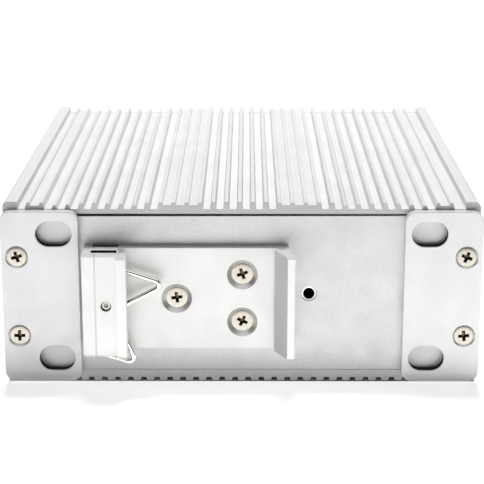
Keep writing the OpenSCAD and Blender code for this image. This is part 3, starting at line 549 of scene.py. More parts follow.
fin_metal = anodised(
    "fin_metal", (0.92, 0.92, 0.93), rough=0.45, metallic=0.22, streak=ALONG_Y, contrast=0.04
)
sawn_metal = anodised(
    "sawn_metal", (0.55, 0.55, 0.56), rough=0.5, metallic=0.4, streak=ALONG_X, streak_mm=0.25,
    contrast=0.08
)
panel_metal = anodised(
    "panel_metal", (0.72, 0.72, 0.735), rough=0.45, metallic=0.4, streak=(1, 1, 1), streak_mm=0.4,
    contrast=0.07
)
ear_metal = anodised(
    "ear_metal", (0.86, 0.86, 0.87), rough=0.5, metallic=0.35, streak=(1, 1, 1), streak_mm=0.8,
    contrast=0.02, blotch=0.012, grain=0.006
)
clip_metal = anodised(
    "clip_metal", (0.92, 0.92, 0.905), rough=0.45, metallic=0.3, streak=ALONG_Z, streak_mm=0.3,
    contrast=0.013
)
# Painted shade: a near-black colour for the walls of the ears' slots, which stand in shadow
slot_wall_shade = anodised("slot_wall_shade", (0.035, 0.035, 0.038), rough=0.75, metallic=0.0, blotch=0.08)
slot_wall_shade.node_tree.nodes["Principled BSDF"].inputs["Specular IOR Level"].default_value = 0.15
machined = plain_metal("machined", (0.66, 0.66, 0.66), rough=0.4, contrast=0.02)
# Painted shade: a darker copy of the clip's metal for the hook's ramp face, which faces away from the light
ramp_shade = anodised(
    "ramp_shade", (0.70, 0.70, 0.70), rough=0.5, metallic=0.3, streak=ALONG_Z, streak_mm=0.3,
    contrast=0.02
)
deep_shade = plain_metal("deep_shade", (0.045, 0.045, 0.045), rough=0.5, contrast=0.2)
nickel = plain_metal("nickel", (0.43, 0.405, 0.355), rough=0.3)
# Painted shade: a dark brown colour for the screws' cross recesses
recess_shade = plain_metal("recess_shade", (0.12, 0.085, 0.055), rough=0.4, contrast=0.2)
wire_metal = plain_metal("wire_metal", (0.84, 0.81, 0.77), rough=0.1, contrast=0.03)
pin_metal = plain_metal("pin_metal", (0.42, 0.40, 0.38), rough=0.3)
zinc = plain_metal("zinc", (0.66, 0.67, 0.68), rough=0.35, contrast=0.12, tint_mm=2.5)
brass = plain_metal("brass", (0.75, 0.58, 0.28), rough=0.25)
tin = plain_metal("tin", (0.75, 0.75, 0.74), rough=0.3)
copper = plain_metal("copper", (0.62, 0.26, 0.10), rough=0.3)
mill_metal = anodised(
    "mill_metal", (0.72, 0.73, 0.74), rough=0.4, metallic=0.8, streak=ALONG_Y, contrast=0.06
)
solder_mask = plastic("solder_mask", (0.02, 0.16, 0.06), rough=0.35, contrast=0.12)
pad_grey = plastic("pad_grey", (0.42, 0.50, 0.56), rough=0.7, contrast=0.06)
epoxy_black = plastic("epoxy_black", (0.025, 0.025, 0.027), rough=0.55, contrast=0.2)
ferrite = plastic("ferrite", (0.055, 0.055, 0.06), rough=0.65, contrast=0.25, texture_mm=0.4)
tape_yellow = plastic("tape_yellow", (0.78, 0.55, 0.05), rough=0.3, contrast=0.06)
sleeve_blue = plastic("sleeve_blue", (0.02, 0.04, 0.14), rough=0.25, contrast=0.08)
film_orange = plastic("film_orange", (0.75, 0.42, 0.04), rough=0.4)
core_green = plastic("core_green", (0.05, 0.26, 0.14), rough=0.45)
relay_blue = plastic("relay_blue", (0.02, 0.12, 0.42), rough=0.3)
fuse_glass = plastic("fuse_glass", (0.8, 0.85, 0.85), rough=0.08, Transmission_Weight=0.85)
lens_green = plastic("lens_green", (0.30, 0.72, 0.32), rough=0.12, depth=0.0, Transmission_Weight=0.25)
terminal_green = plastic("terminal_green", (0.03, 0.34, 0.11), rough=0.42, contrast=0.06)
switch_black = plastic("switch_black", (0.018, 0.018, 0.019), rough=0.38, contrast=0.1)
mark_white = plastic("mark_white", (0.85, 0.85, 0.85), rough=0.5)


def dress(material, *nodes):
    for n in nodes:
        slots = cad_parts[n].data.materials
        slots.clear()
        slots.append(material)


# ---------------------------------------------------------------- housing
def fin_outline(i, floor_l, floor_r):
    """Points of one fin from its left root to its right root."""
    x = i * FIN_PITCH + FIN_SHIFT
    n = abs(i)
    top = ROOF_TOP + FIN_SHARE[n] * FIN_H
    half_root = FIN_ROOT_W / 2
    if FIN_DOMED[0] <= n <= FIN_DOMED[1]:
        r = FIN_TIP_W / 2
        t_l, t_r = ((z - ROOF_TOP) / (top - r - ROOF_TOP) for z in (floor_l, floor_r))
        left = x - half_root * (1 - t_l) - r * t_l
        right = x + half_root * (1 - t_r) + r * t_r
        return [(left, floor_l)] + arc(x, top - r, r, 180, 0, 8) + [(right, floor_r)]
    half_tip = (FIN_TIP_W if n < FIN_EDGE else FIN_EDGE_TIP_W) / 2

    def edge(z, s):
        t = (z - ROOF_TOP) / (top - ROOF_TOP)
        return x + s * (half_root * (1 - t) + half_tip * t)

    tip_r = 0.2 if n < FIN_EDGE else 0.14
    return rounded(
        [
            (edge(floor_l, -1), floor_l), (edge(top, -1), top), (edge(top, 1), top),
            (edge(floor_r, 1), floor_r)
        ],
        [0, tip_r, tip_r, 0],
        3,
    )


def fin_floor(i):
    """Height of the floor between fin i and fin i + 1."""
    a, b = i, i + 1
    if (a, b) in ((FIN_EDGE, FIN_LAST), (-FIN_LAST, -FIN_EDGE)):
        return ROOF_TOP + EDGE_WEB * FIN_H
    if 3 <= a and b <= 6 or -6 <= a and b <= -3:
        return ROOF_TOP + CHANNEL_WEB * FIN_H
    return ROOF_TOP


def housing_outline():
    inner = HALF_W - WALL_T
    groove = inner + 1.15
    g0, g1 = 1.05, 2.75
    boss_r = 3.0
    dz = math.sqrt(boss_r**2 - (PORT_X - inner) ** 2)
    pts = [(-HALF_W, 0.0)]
    pts += rounded(
        [(-HALF_W, 20.0), (-HALF_W, BODY_H), (-HALF_W + CORNER_W, BODY_H), (-HALF_W + CORNER_W, ROOF_TOP)],
        [0, CORNER_R[0], 0.2, 0.2],
        6,
    )[1:]
    for i in range(-FIN_LAST, FIN_LAST + 1):
        left = fin_floor(i - 1) if i > -FIN_LAST else ROOF_TOP
        right = fin_floor(i) if i < FIN_LAST else ROOF_TOP
        pts += fin_outline(i, left, right)
    pts += rounded(
        [(HALF_W - CORNER_W, ROOF_TOP), (HALF_W - CORNER_W, BODY_H), (HALF_W, BODY_H), (HALF_W, 20.0)],
        [0.2, 0.2, CORNER_R[1], 0],
        6,
    )[:-1]
    pts += [(HALF_W, 0.0)]

    def inside(s):
        side = [(s * inner, 0.0), (s * inner, g0), (s * groove, g0), (s * groove, g1), (s * inner, g1)]
        for z in (PORT_Z - PORT_PITCH / 2, PORT_Z + PORT_PITCH / 2):
            a = math.degrees(math.atan2(dz, inner - PORT_X))
            side += [(s * x, y) for x, y in arc(PORT_X, z, boss_r, 360 - a, a, 16)]
        side += [(s * inner, ROOF_Z)]
        return side

    pts += inside(1)
    pts += list(reversed(inside(-1)))
    return pts


ports = [(s * PORT_X, PORT_Z + k * PORT_PITCH / 2) for s in (-1, 1) for k in (-1, 1)]
top_mesh = plate(
    [housing_outline()] + [circle(x, z, 1.25, 20) for x, z in ports], BODY_L, 0.05, 1, z0=-BODY_L
)
# A small chamfer under the roof's rear edge
size = 0.2 * math.sqrt(2)
wedge = block((-HALF_W + WALL_T + 0.1, -size / 2, -size / 2), (HALF_W - WALL_T - 0.1, size / 2, size / 2))
wedge.transform(Matrix.Translation((0, ROOF_Z, 0)) @ Matrix.Rotation(math.radians(45), 4, "X"))
top_mesh = cut(top_mesh, [wedge])
for p in top_mesh.polygons:
    p.material_index = 1 if abs(p.normal.z) > 0.2 else 0
piece(
    "housing_top_looks", top_mesh, out_of_rear(0, 0), [fin_metal, sawn_metal], replaces=["housing_top"],
    angle=32, axis=1
)

# ---------------------------------------------------------------- rear panel
def rear_panel_outline():
    """The panel with its bites around the four screw bosses; its left end hangs a little lower."""
    w = panel_hi.x
    r = 3.2
    dz = math.sqrt(r**2 - (w - PORT_X) ** 2)
    a = math.degrees(math.atan2(dz, w - PORT_X))
    low, high = PORT_Z - PORT_PITCH / 2, PORT_Z + PORT_PITCH / 2

    def side(top):
        pts = [(w, panel_lo.z)]
        for z in (low, high):
            pts += arc(PORT_X, z, r, -a, a - 360, 24)
        return pts + [(w, top)]

    right = side(panel_hi.z)
    left = [(-x, z) for x, z in reversed(side(panel_hi.z - PANEL_DROP))]
    return right + left


PANEL_DROP = 0.18
clip_holes = [(SINGLE_X, CLIP_MID_Z), (PAIR_X, CLIP_MID_Z + PAIR_DZ), (PAIR_X, CLIP_MID_Z - PAIR_DZ)]
panel_t = panel_hi.y - panel_lo.y
panel_loops = [rear_panel_outline()] + [circle(x, z, SCREW_R + 0.06, 32) for x, z in clip_holes]
panel_loops.append(circle(NUT_X, NUT_Z, 1.66, 48))
panel_mesh = plate(panel_loops, panel_t, 0.12, 2, z0=-panel_t)
mark(panel_mesh, 1, lambda c, n: n.y > 0.9 and c.y > panel_hi.z - 1.0)
piece(
    "rear_panel_looks", panel_mesh, out_of_rear(0, 0), [panel_metal, deep_shade],
    replaces=["rear_panel"], axis=1
)


# ---------------------------------------------------------------- screws
def cross_cutter(length, width, depth, turn):
    """A tapered cross with rounded inner corners, as a driver leaves it."""

    def outline(l, w):
        a, b = l / 2, w / 2
        pts = [
            (a, -b), (a, b), (b, b), (b, a), (-b, a), (-b, b), (-a, b), (-a, -b), (-b, -b), (-b, -a),
            (b, -a), (b, -b)
        ]
        radii = [0.06, 0.06, 0.16] * 4
        return rounded(pts, radii, 3)

    m = loft(
        [
            (outline(length * 0.42, width * 0.5), -depth), (outline(length * 0.9, width * 0.9), -0.25),
            (outline(length, width), 0.0), (outline(length * 1.06, width * 1.06), 0.3)
        ]
    )
    return moved(m, Matrix.Rotation(math.radians(turn), 4, "Z"))


def countersunk_screw(head_r, length, turn, slack):
    cone_h = head_r - SCREW_R
    rim = head_r - slack
    profile = [(0, 0.0), (0.6 * head_r, -0.005), (rim - 0.16, -0.02), (rim - 0.05, -0.05), (rim, -0.14),
               (rim, -HEAD_RIM - slack), (SCREW_R, -HEAD_RIM - cone_h), (SCREW_R, -length + 0.4),
               (SCREW_R - 0.4, -length), (0, -length)]
    body = lathe(profile, 72)
    cutter = cross_cutter(2.45, 0.72, 1.15, turn)
    out = cut(body, [cutter])
    # Faces down inside the cross recess take slot 1, the painted shade
    for p in out.polygons:
        c = p.center
        inside = math.hypot(c.x, c.y) < 1.35 and c.z < -0.03 and (abs(p.normal.z) < 0.95 or c.z < -0.9)
        p.material_index = 1 if inside and c.z > -1.3 else 0
    return out


def screw_set(name, places, head_r, length, turns, replaces, slack=0.02):
    parts = []
    for m, turn in zip(places, turns):
        s = countersunk_screw(head_r, length, turn, slack)
        smoothed(s, 30)
        parts.append(moved(s, m))
    mesh = joined(parts)
    obj = bpy.data.objects.new(name, mesh)
    bpy.context.scene.collection.objects.link(obj)
    mesh.name = name
    mesh.materials.append(nickel)
    mesh.materials.append(recess_shade)
    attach(obj, "housing")
    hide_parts(*replaces)
    return obj


screw_set(
    "ear_screws_looks", [out_of_rear(x, z, EAR_T - EAR_SINK) for x, z in ports], EAR_HEAD_R, 9.0,
    [0, 17, 5, -22], ["ear_screws"], 0.14
)
screw_set(
    "clip_screws_looks", [out_of_rear(x, z, PLATE_T - CUP_SINK) for x, z in clip_holes], CLIP_HEAD_R,
    7.0, [8, 20, -25], ["clip_screws"]
)
front_t = front_hi.y - front_lo.y
screw_set(
    "front_screws_looks", [out_of_front(x, z, front_t - EAR_SINK) for x, z in ports], EAR_HEAD_R, 9.0,
    [0, 20, 30, 50], ["front_screws"], 0.14
)
bs_lo, bs_hi = mm_box("base_screws")
BASE_HEAD_R = 2.2
base_places = [
    (s * (bs_hi.x - BASE_HEAD_R), y) for s in (-1, 1)
    for y in (bs_lo.y + BASE_HEAD_R, bs_hi.y - BASE_HEAD_R)
]
screw_set(
    "base_screws_looks", [out_of_base(x, y, -bs_lo.z) for x, y in base_places], BASE_HEAD_R,
    bs_hi.z - bs_lo.z, [12, 40, 75, 20], ["base_screws"]
)


def countersink(mouth_r, depth=4.0, hole_r=HOLE_R):
    """A cutter for a screw's cone and shank, with its mouth at z 0."""
    cone = mouth_r - hole_r
    return lathe(
        [
            (0, -depth), (hole_r, -depth), (hole_r, -cone), (mouth_r, 0), (mouth_r + 0.06, 0.04),
            (mouth_r + 0.06, 1.0), (0, 1.0)
        ],
        64
    )


# ---------------------------------------------------------------- base plate and front panel
BASE_GROOVE_PITCH = 2.9
BASE_GROOVE_W = 1.4
BASE_GROOVE_D = 0.75
TONGUE_Z = 1.2


def base_outline():
    """Section of the base plate: grooves below, a tongue along each side."""
    v = HALF_W - WALL_T - 0.15
    pts, radii = [(-v, 0.0)], [0.1]
    a, b = BASE_GROOVE_W / 2, 0.375 * BASE_GROOVE_W
    for i in range(-16, 16):
        x = (i + 0.5) * BASE_GROOVE_PITCH
        pts += [(x - a, 0), (x - b, BASE_GROOVE_D), (x + b, BASE_GROOVE_D), (x + a, 0)]
        radii += [0.1, 0.12, 0.12, 0.1]
    w, top = base_hi.x, base_hi.z
    pts += [(v, 0), (v, TONGUE_Z), (w, TONGUE_Z), (w, top), (-w, top), (-w, TONGUE_Z), (-v, TONGUE_Z)]
    radii += [0.1, 0.05, 0.1, 0.1, 0.1, 0.1, 0.05]
    return rounded(pts, radii, 2)


base_mesh = plate([base_outline()], BODY_L, 0.08, 1, z0=-BODY_L)
to_rear = out_of_rear(0, 0).inverted()
base_mesh = cut(
    base_mesh,
    [moved(countersink(BASE_HEAD_R + 0.22), to_rear @ out_of_base(x, y)) for x, y in base_places]
)
piece(
    "housing_base_looks", base_mesh, out_of_rear(0, 0), panel_metal, replaces=["housing_base"],
    angle=32, axis=1
)


def front_panel_mesh():
    loops = [rounded_rect(2 * HALF_W, EAR_H, EAR_CORNER_R, 0, EAR_MID_Z)]
    for node, w, h in (("dc_socket", None, None), ("ac_socket", None, None), ("switch_body", 9.0, 14.0)):
        lo, hi = mm_box(node)
        w = w or hi.x - lo.x
        h = h or hi.z - lo.z
        loops.append(rounded_rect(w + 0.3, h + 0.3, 0.2, -(lo.x + hi.x) / 2, (lo.z + hi.z) / 2, 3))
    lo, hi = mm_box("led_lenses")
    for k in (-1, 0, 1):
        loops.append(circle(-(lo.x + hi.x) / 2, (lo.z + hi.z) / 2 + 6.0 * k, 1.65, 40))
    mesh = plate(loops, front_t, 0.16, 2)
    mouth = EAR_HEAD_R + EAR_SINK + HEAD_RIM
    mesh = cut(mesh, [moved(countersink(mouth), Matrix.Translation((-x, z, front_t))) for x, z in ports])
    mark(
        mesh, 1, lambda c, n: min(math.hypot(c.x + x, c.y - z) for x, z in ports) < EAR_HEAD_R + 0.4
        and abs(n.z) < 0.9
    )
    return mesh


piece(
    "front_panel_looks", front_panel_mesh(), out_of_front(0, 0), [panel_metal, machined],
    replaces=["front_panel"], axis=1
)


# ---------------------------------------------------------------- ears
def ear_mesh(mirror):
    s = -1 if mirror else 1
    slot_x = s * (EAR_W / 2 - SLOT_IN)
    hole_x = s * (HALF_W + 0.5 - EAR_W / 2 - PORT_X)
    loops = [rounded_rect(EAR_W, EAR_H, EAR_CORNER_R)]
    loops += [oblong(SLOT_L, SLOT_W, slot_x, k * SLOT_PITCH / 2 + HOLE_LIFT) for k in (-1, 1)]
    mesh = plate(loops, EAR_T, 0.16, 2)
    sinks = []
    for k in (-1, 1):
        c = countersink(EAR_HEAD_R + EAR_SINK + HEAD_RIM)
        sinks.append(moved(c, Matrix.Translation((hole_x, PORT_Z - EAR_MID_Z + k * PORT_PITCH / 2, EAR_T))))
    mesh = cut(mesh, sinks)
    wall = EAR_T / 2 - 0.2

    def on_slot_wall(c, n):
        across = abs(c.x - slot_x) < SLOT_L / 2 + 0.05 and abs(c.y) < EAR_H / 2 - 1.0
        return across and abs(c.z - EAR_T / 2) < wall and abs(n.z) < 0.3

    # The slot walls take slot 1, the near-black painted shade
    mark(mesh, 1, on_slot_wall)
    ports_y = [PORT_Z - EAR_MID_Z + k * PORT_PITCH / 2 for k in (-1, 1)]
    mark(
        mesh, 2, lambda c, n: min(math.hypot(c.x - hole_x, c.y - y) for y in ports_y) < EAR_HEAD_R + 0.4
        and abs(n.z) < 0.9
    )
    return mesh


for name, mirror, cx in (
    ("left_ear", False, (ear_lo.x + ear_hi.x) / 2), ("right_ear", True, -(ear_lo.x + ear_hi.x) / 2)
):
    piece(
        name + "_looks", ear_mesh(mirror), out_of_rear(cx, EAR_MID_Z), [ear_metal, slot_wall_shade, machined],
        replaces=[name], axis=1
    )


# ---------------------------------------------------------------- rail clip
END_BEVEL = 0.45
LIP_BEVEL = 0.7


def clip_outline(end=9.0, inset=0.0):
    """Section of the clip at this distance from an end, where block, lip and hook are chamfered."""
    cut_back = max(0.0, END_BEVEL - end)
    block_d = BLOCK_D - cut_back
    lip_d = LIP_D - max(0.0, LIP_BEVEL - end)
    rise = HOOK_D - PLATE_T - HOOK_GAP
    ramp = HOOK_RAMP - cut_back * (HOOK_RAMP - HOOK_TIP) / rise
    outer = CLIP_END - cut_back * (CLIP_END - HOOK_NECK) / rise
    pts = [
        (CLIP_X, 0, 0.1),
        (CLIP_X, block_d, 0.3),
        (SCORE_X - 0.2, block_d, 0.05),
        (SCORE_X, block_d - 0.22, 0),
        (SCORE_X + 0.2, block_d, 0.05),
        (LIP_TIP - LIP_W, block_d, 0.12),
        (LIP_TIP - LIP_W, lip_d, 0.12),
        (LIP_TIP, lip_d, 0.3),
        (LIP_TIP, SLOT_TOP, 0.15),
        (SLOT_X, SLOT_TOP, 0.15),
        (SLOT_X, SLOT_FLOOR, 0.15),
        (LIP_TIP - LIP_W, SLOT_FLOOR, 0.15),
        (LIP_TIP - LIP_W, PLATE_T, 0.1),
        (HOOK_TIP + HOOK_UNDER, PLATE_T, 0.1),
        (HOOK_TIP + HOOK_UNDER, PLATE_T + HOOK_GAP, 0.1),
        (HOOK_TIP, PLATE_T + HOOK_GAP, 0.15),
        (ramp, HOOK_D - cut_back, 0.12),
        (outer, HOOK_D - cut_back, 0.25),
        (HOOK_NECK, PLATE_T + HOOK_GAP, 0.3),
        (HOOK_NECK, 0, 0.1),
        (LIP_TIP - LIP_W, 0, 0.1),
        (LIP_TIP - LIP_W, RELIEF_D, 0.2),
        (SLOT_X, RELIEF_D, 0.2),
        (SLOT_X, 0, 0.1),
    ]
    flat = rounded([(x, REAR_Y - d) for x, d, r in pts], [r for x, d, r in pts], 3)
    return inward(flat, inset) if inset else flat


def inward(points, by):
    """The outline moved inwards by a small amount."""
    area = sum(a[0] * b[1] - b[0] * a[1] for a, b in zip(points, points[1:] + points[:1]))
    turn = 1 if area > 0 else -1
    out = []
    for i, p in enumerate(points):
        before = Vector(p) - Vector(points[i - 1])
        after = Vector(points[(i + 1) % len(points)]) - Vector(p)
        n = before.normalized() + after.normalized()
        n = Vector((-n.y, n.x)).normalized() * turn
        out.append((p[0] + by * n.x, p[1] + by * n.y))
    return out


ends = [(0.0, 0.1), (0.03, 0.03), (0.1, 0.0), (END_BEVEL, 0.0), (LIP_BEVEL, 0.0)]
sections = [(clip_outline(e, i), e) for e, i in ends] + [
    (clip_outline(e, i), CLIP_H - e) for e, i in reversed(ends)
]
clip_mesh = loft(sections)
clip_cutters = []
to_up = upright(0, 0, clip_lo.z).inverted()
for x, z in clip_holes:
    m = to_up @ out_of_rear(x, z, PLATE_T)
    clip_cutters.append(moved(countersink(CUP_R, 3.0), m))
pin_hole = lathe(
    [
        (0, -1), (PIN_R + 0.08, -1), (PIN_R + 0.08, BLOCK_D - 0.1), (PIN_R + 0.2, BLOCK_D + 0.02),
        (PIN_R + 0.2, BLOCK_D + 1), (0, BLOCK_D + 1)
    ],
    48
)
clip_cutters.append(moved(pin_hole, to_up @ out_of_rear(PIN_X, CLIP_MID_Z)))
clip_mesh = cut(clip_mesh, clip_cutters)
bores = [(x, z, CUP_R) for x, z in clip_holes] + [(PIN_X, CLIP_MID_Z, PIN_R + 0.15)]
mark(clip_mesh, 1, lambda c, n: abs(n.z) < 0.9 or abs(n.y) < 0.9)


def off_the_bores(c, n):
    clear = min(math.hypot(c.x - x, c.z + clip_lo.z - z) - r for x, z, r in bores)
    return clear > 0.05 or abs(n.y) > 0.9


mark(clip_mesh, 0, off_the_bores)
slot_y = (REAR_Y - SLOT_TOP, REAR_Y - SLOT_FLOOR)
mark(
    clip_mesh, 2, lambda c, n: SLOT_X - 0.1 < c.x < LIP_TIP - LIP_W + 0.1
    and c.y > REAR_Y - RELIEF_D - 0.05 and abs(n.z) < 0.5
)
mark(
    clip_mesh, 2, lambda c, n: SLOT_X - 0.1 < c.x < LIP_TIP
    and slot_y[0] - 0.02 < c.y < slot_y[1] + 0.02 and abs(n.z) < 0.5
)
# The hook's ramp face, which leans down and away, takes slot 3, the darker painted shade
mark(
    clip_mesh, 3, lambda c, n: HOOK_TIP - 0.1 < c.x < HOOK_RAMP + 0.3
    and c.y < REAR_Y - PLATE_T - HOOK_GAP and n.x < -0.25 and abs(n.z) < 0.5
)
piece(
    "clip_body_looks", clip_mesh, upright(0, 0, clip_lo.z),
    [clip_metal, machined, deep_shade, ramp_shade], replaces=["clip_body"],
    angle=30, axis=2
)

# Pin with a turned dimple in its end
pin_l = BLOCK_D - PIN_SINK
pin_mesh = lathe(
    [
        (0, 0), (PIN_R, 0), (PIN_R, pin_l - 0.15), (PIN_R - 0.15, pin_l), (0.5, pin_l),
        (0.15, pin_l - 0.3), (0, pin_l - 0.32)
    ],
    48
)
piece(
    "clip_pin_looks", pin_mesh, out_of_rear(PIN_X, CLIP_MID_Z), pin_metal, replaces=["clip_pin"],
)


# ---------------------------------------------------------------- wire spring
SPRING_TILT = 45
EYE_R = PIN_R + 0.06 + WIRE_R
NECK_R = 0.8
LOOP_R = 1.0
# Corner of each loop, and the direction and length of its free leg; the lower half is mirrored
UPPER_LOOP = ((6.1, 12.05), 206.6, 10.4)
LOWER_LOOP = ((14.5, 5.45), 152.5, 7.7)


def spring_half(corner, free_a, free_l):
    """Half of the spring's centre line, from the back of the eye to the free end."""
    neck_y = NECK_R + WIRE_R + 0.06
    neck_x = math.sqrt((EYE_R + NECK_R) ** 2 - neck_y**2)
    eye_a = math.degrees(math.atan2(neck_y, neck_x))
    corner = Vector(corner)
    reach = corner - Vector((neck_x, neck_y))
    inner_a = math.degrees(math.atan2(reach.y, reach.x) + math.asin(NECK_R / reach.length))
    half_a = (inner_a + 180 - free_a) / 2
    line_a = math.radians(inner_a + 180 - half_a)
    centre = corner + LOOP_R / math.sin(math.radians(half_a)) * Vector((math.cos(line_a), math.sin(line_a)))
    out = arc(0, 0, EYE_R, 180, eye_a, 18)
    out += arc(neck_x, neck_y, NECK_R, eye_a + 180, inner_a + 270, 14)[1:]
    out += arc(centre.x, centre.y, LOOP_R, inner_a - 90, inner_a + 90 - 2 * half_a, 18)
    free = math.radians(free_a)
    return out + [(corner.x + free_l * math.cos(free), corner.y + free_l * math.sin(free))]


upper = spring_half(*UPPER_LOOP)
lower = [(x, -y) for x, y in reversed(spring_half(*LOWER_LOOP))]
spring_mesh = tube([(x, y, 0) for x, y in lower[:-1] + upper], WIRE_R, 24)
spring_place = out_of_rear(PIN_X, CLIP_MID_Z, (SLOT_FLOOR + SLOT_TOP) / 2) @ Matrix.Rotation(
    math.radians(-SPRING_TILT), 4, "Z"
)
piece(
    "clip_spring_looks", spring_mesh, spring_place, wire_metal, body="spring", replaces=["clip_spring"],
    angle=50
)


# ---------------------------------------------------------------- ground nut
def threaded(r_out, r_in, length, pitch=0.5, depth=0.16, back=3.0):
    """A nut with a round neck at the front and thread rings down its bore."""
    outer = [(r_in + 0.12, 0.0), (r_out - 0.06, 0.0), (r_out, -0.06), (r_out, -length)]
    bore = []
    z = -length - back
    while z < -0.15:
        bore += [(r_in + depth, z), (r_in, z + pitch / 2)]
        z += pitch
    profile = [(r_in + depth, -length - back)] + bore + outer
    return lathe_open(profile + [(r_out, -length - back), (r_in + depth, -length - back)])


def lathe_open(profile, n=48):
    """Turns a closed profile about z, which leaves a hole through the middle."""
    bm = bmesh.new()
    rings = [
        [
            bm.verts.new((r * math.cos(2 * math.pi * k / n), r * math.sin(2 * math.pi * k / n), z))
            for k in range(n)
        ]
        for r, z in profile[:-1]
    ]
    count = len(rings)
    for i in range(count):
        a, b = rings[i], rings[(i + 1) % count]
        for k in range(n):
            bm.faces.new((a[k], a[(k + 1) % n], b[(k + 1) % n], b[k]))
    bmesh.ops.remove_doubles(bm, verts=bm.verts, dist=1e-4)
    bmesh.ops.dissolve_degenerate(bm, edges=bm.edges, dist=1e-5)
    bmesh.ops.recalc_face_normals(bm, faces=bm.faces)
    return mesh_from(bm)


NUT_NECK_R = 1.63
NUT_BORE_R = 1.25
NUT_NECK_L = 1.8
NUT_HEX_R = 2.9
NUT_HEX_L = 3.0
nut_neck = threaded(NUT_NECK_R, NUT_BORE_R, NUT_NECK_L)
nut_hex = plate(
    [circle(0, 0, NUT_HEX_R, 6), circle(0, 0, NUT_NECK_R - 0.01)], NUT_HEX_L, 0.15, 1,
    z0=-NUT_NECK_L - NUT_HEX_L
)
nut_mesh = joined([nut_neck, nut_hex])
mark(nut_mesh, 1, lambda c, n: math.hypot(c.x, c.y) < 1.45 and c.z < -0.2)
piece(
    "ground_nut_looks", nut_mesh, out_of_rear(NUT_X, NUT_Z, -0.2), [zinc, deep_shade],
    replaces=["ground_nut"]
)

# ---------------------------------------------------------------- front
dress(terminal_green, "dc_socket", "ac_socket", "dc_plug", "ac_plug")
dress(tin, "dc_pins", "ac_pins", "dc_plug_screws", "ac_plug_screws")
dress(switch_black, "switch_body", "switch_rocker")
dress(lens_green, "led_lenses")

# Softened edges on the moulded parts
SOFT_EDGE = 0.12
for n in ("dc_socket", "ac_socket", "dc_plug", "ac_plug", "switch_body", "switch_rocker"):
    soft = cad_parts[n].modifiers.new("soft_edges", "BEVEL")
    soft.width = SOFT_EDGE * MM
    soft.segments = 2
    soft.limit_method = "ANGLE"
    soft.angle_limit = math.radians(40)

# The rocker's bar and ring stand a little proud of its two halves
ROCKER_TILT = 9
ROCKER_AXIS_IN = 3.5
ROCKER_HALF = 4.9
ROCKER_EDGE = 3.8
ROCKER_MIDDLE = 2.9
switch_lo, switch_hi = mm_box("switch_body")
rocker_origin = (
    (switch_lo.x + switch_hi.x) / 2, switch_hi.y - ROCKER_AXIS_IN, (switch_lo.z + switch_hi.z) / 2
)
rocker_place = place((0, 0, -1), (0, 1, 0), (1, 0, 0), rocker_origin) @ Matrix.Rotation(
    math.radians(-ROCKER_TILT), 4, "Z"
)
for name, side, loops in (
    ("rocker_bar", -1, [rounded_rect(0.4, 1.8, 0.1)]),
    ("rocker_ring", 1, [circle(0, 0, 0.9), circle(0, 0, 0.55)]),
):
    up = Vector((-side * (ROCKER_EDGE - ROCKER_MIDDLE), ROCKER_HALF, 0)).normalized()
    face = Matrix(((0, 0, 1), (up.y, -up.x, 0), up)).transposed().to_4x4()
    face.translation = (side * ROCKER_HALF / 2, (ROCKER_EDGE + ROCKER_MIDDLE) / 2, 0)
    piece(name, plate(loops, 0.08, 0.02, 1, z0=-0.03), rocker_place @ face, mark_white, body="rocker")

# ---------------------------------------------------------------- inside
dress(zinc, "clip_nuts", "board_screws", "clamp_screws", "transistor_clamp")
dress(brass, "standoffs", "fuse_clips")
dress(solder_mask, "main_board", "control_board")
dress(mill_metal, "heat_spreader")
dress(pad_grey, "roof_pad")
dress(epoxy_black, "transistors", "transformer_bobbin", "control_chips", "board_header", "led_holder")
dress(ferrite, "transformer_core")
dress(tape_yellow, "transformer_winding")
dress(sleeve_blue, "storage_capacitors")
dress(film_orange, "film_capacitor")
dress(core_green, "choke_core")
dress(copper, "choke_windings")
dress(relay_blue, "relay")
dress(fuse_glass, "fuse_tube")


# ---------------------------------------------------------------- stage
def path_white(tree):
    """1 for camera, mirror and transmitted rays, and 0 for those that light the object."""
    rays = tree.nodes.new("ShaderNodeLightPath")
    both = tree.nodes.new("ShaderNodeMath")
    both.operation = "MAXIMUM"
    tree.links.new(rays.outputs["Is Camera Ray"], both.inputs[0])
    tree.links.new(rays.outputs["Is Glossy Ray"], both.inputs[1])
    all_rays = tree.nodes.new("ShaderNodeMath")
    all_rays.operation = "MAXIMUM"
    tree.links.new(both.outputs[0], all_rays.inputs[0])
    tree.links.new(rays.outputs["Is Transmission Ray"], all_rays.inputs[1])
    return all_rays.outputs[0]


world = bpy.data.worlds.new("studio")
bpy.context.scene.world = world
world.use_nodes = True
wt = world.node_tree
wt.nodes.clear()
ambient = wt.nodes.new("ShaderNodeBackground")
ambient.inputs["Color"].default_value = (1, 1, 1, 1)
ambient.inputs["Strength"].default_value = 0.04
shown = wt.nodes.new("ShaderNodeBackground")
shown.inputs["Color"].default_value = (1, 1, 1, 1)
shown.inputs["Strength"].default_value = 1.0
mix = wt.nodes.new("ShaderNodeMixShader")
wt.links.new(path_white(wt), mix.inputs[0])
wt.links.new(ambient.outputs[0], mix.inputs[1])
wt.links.new(shown.outputs[0], mix.inputs[2])
out = wt.nodes.new("ShaderNodeOutputWorld")
wt.links.new(mix.outputs[0], out.inputs["Surface"])

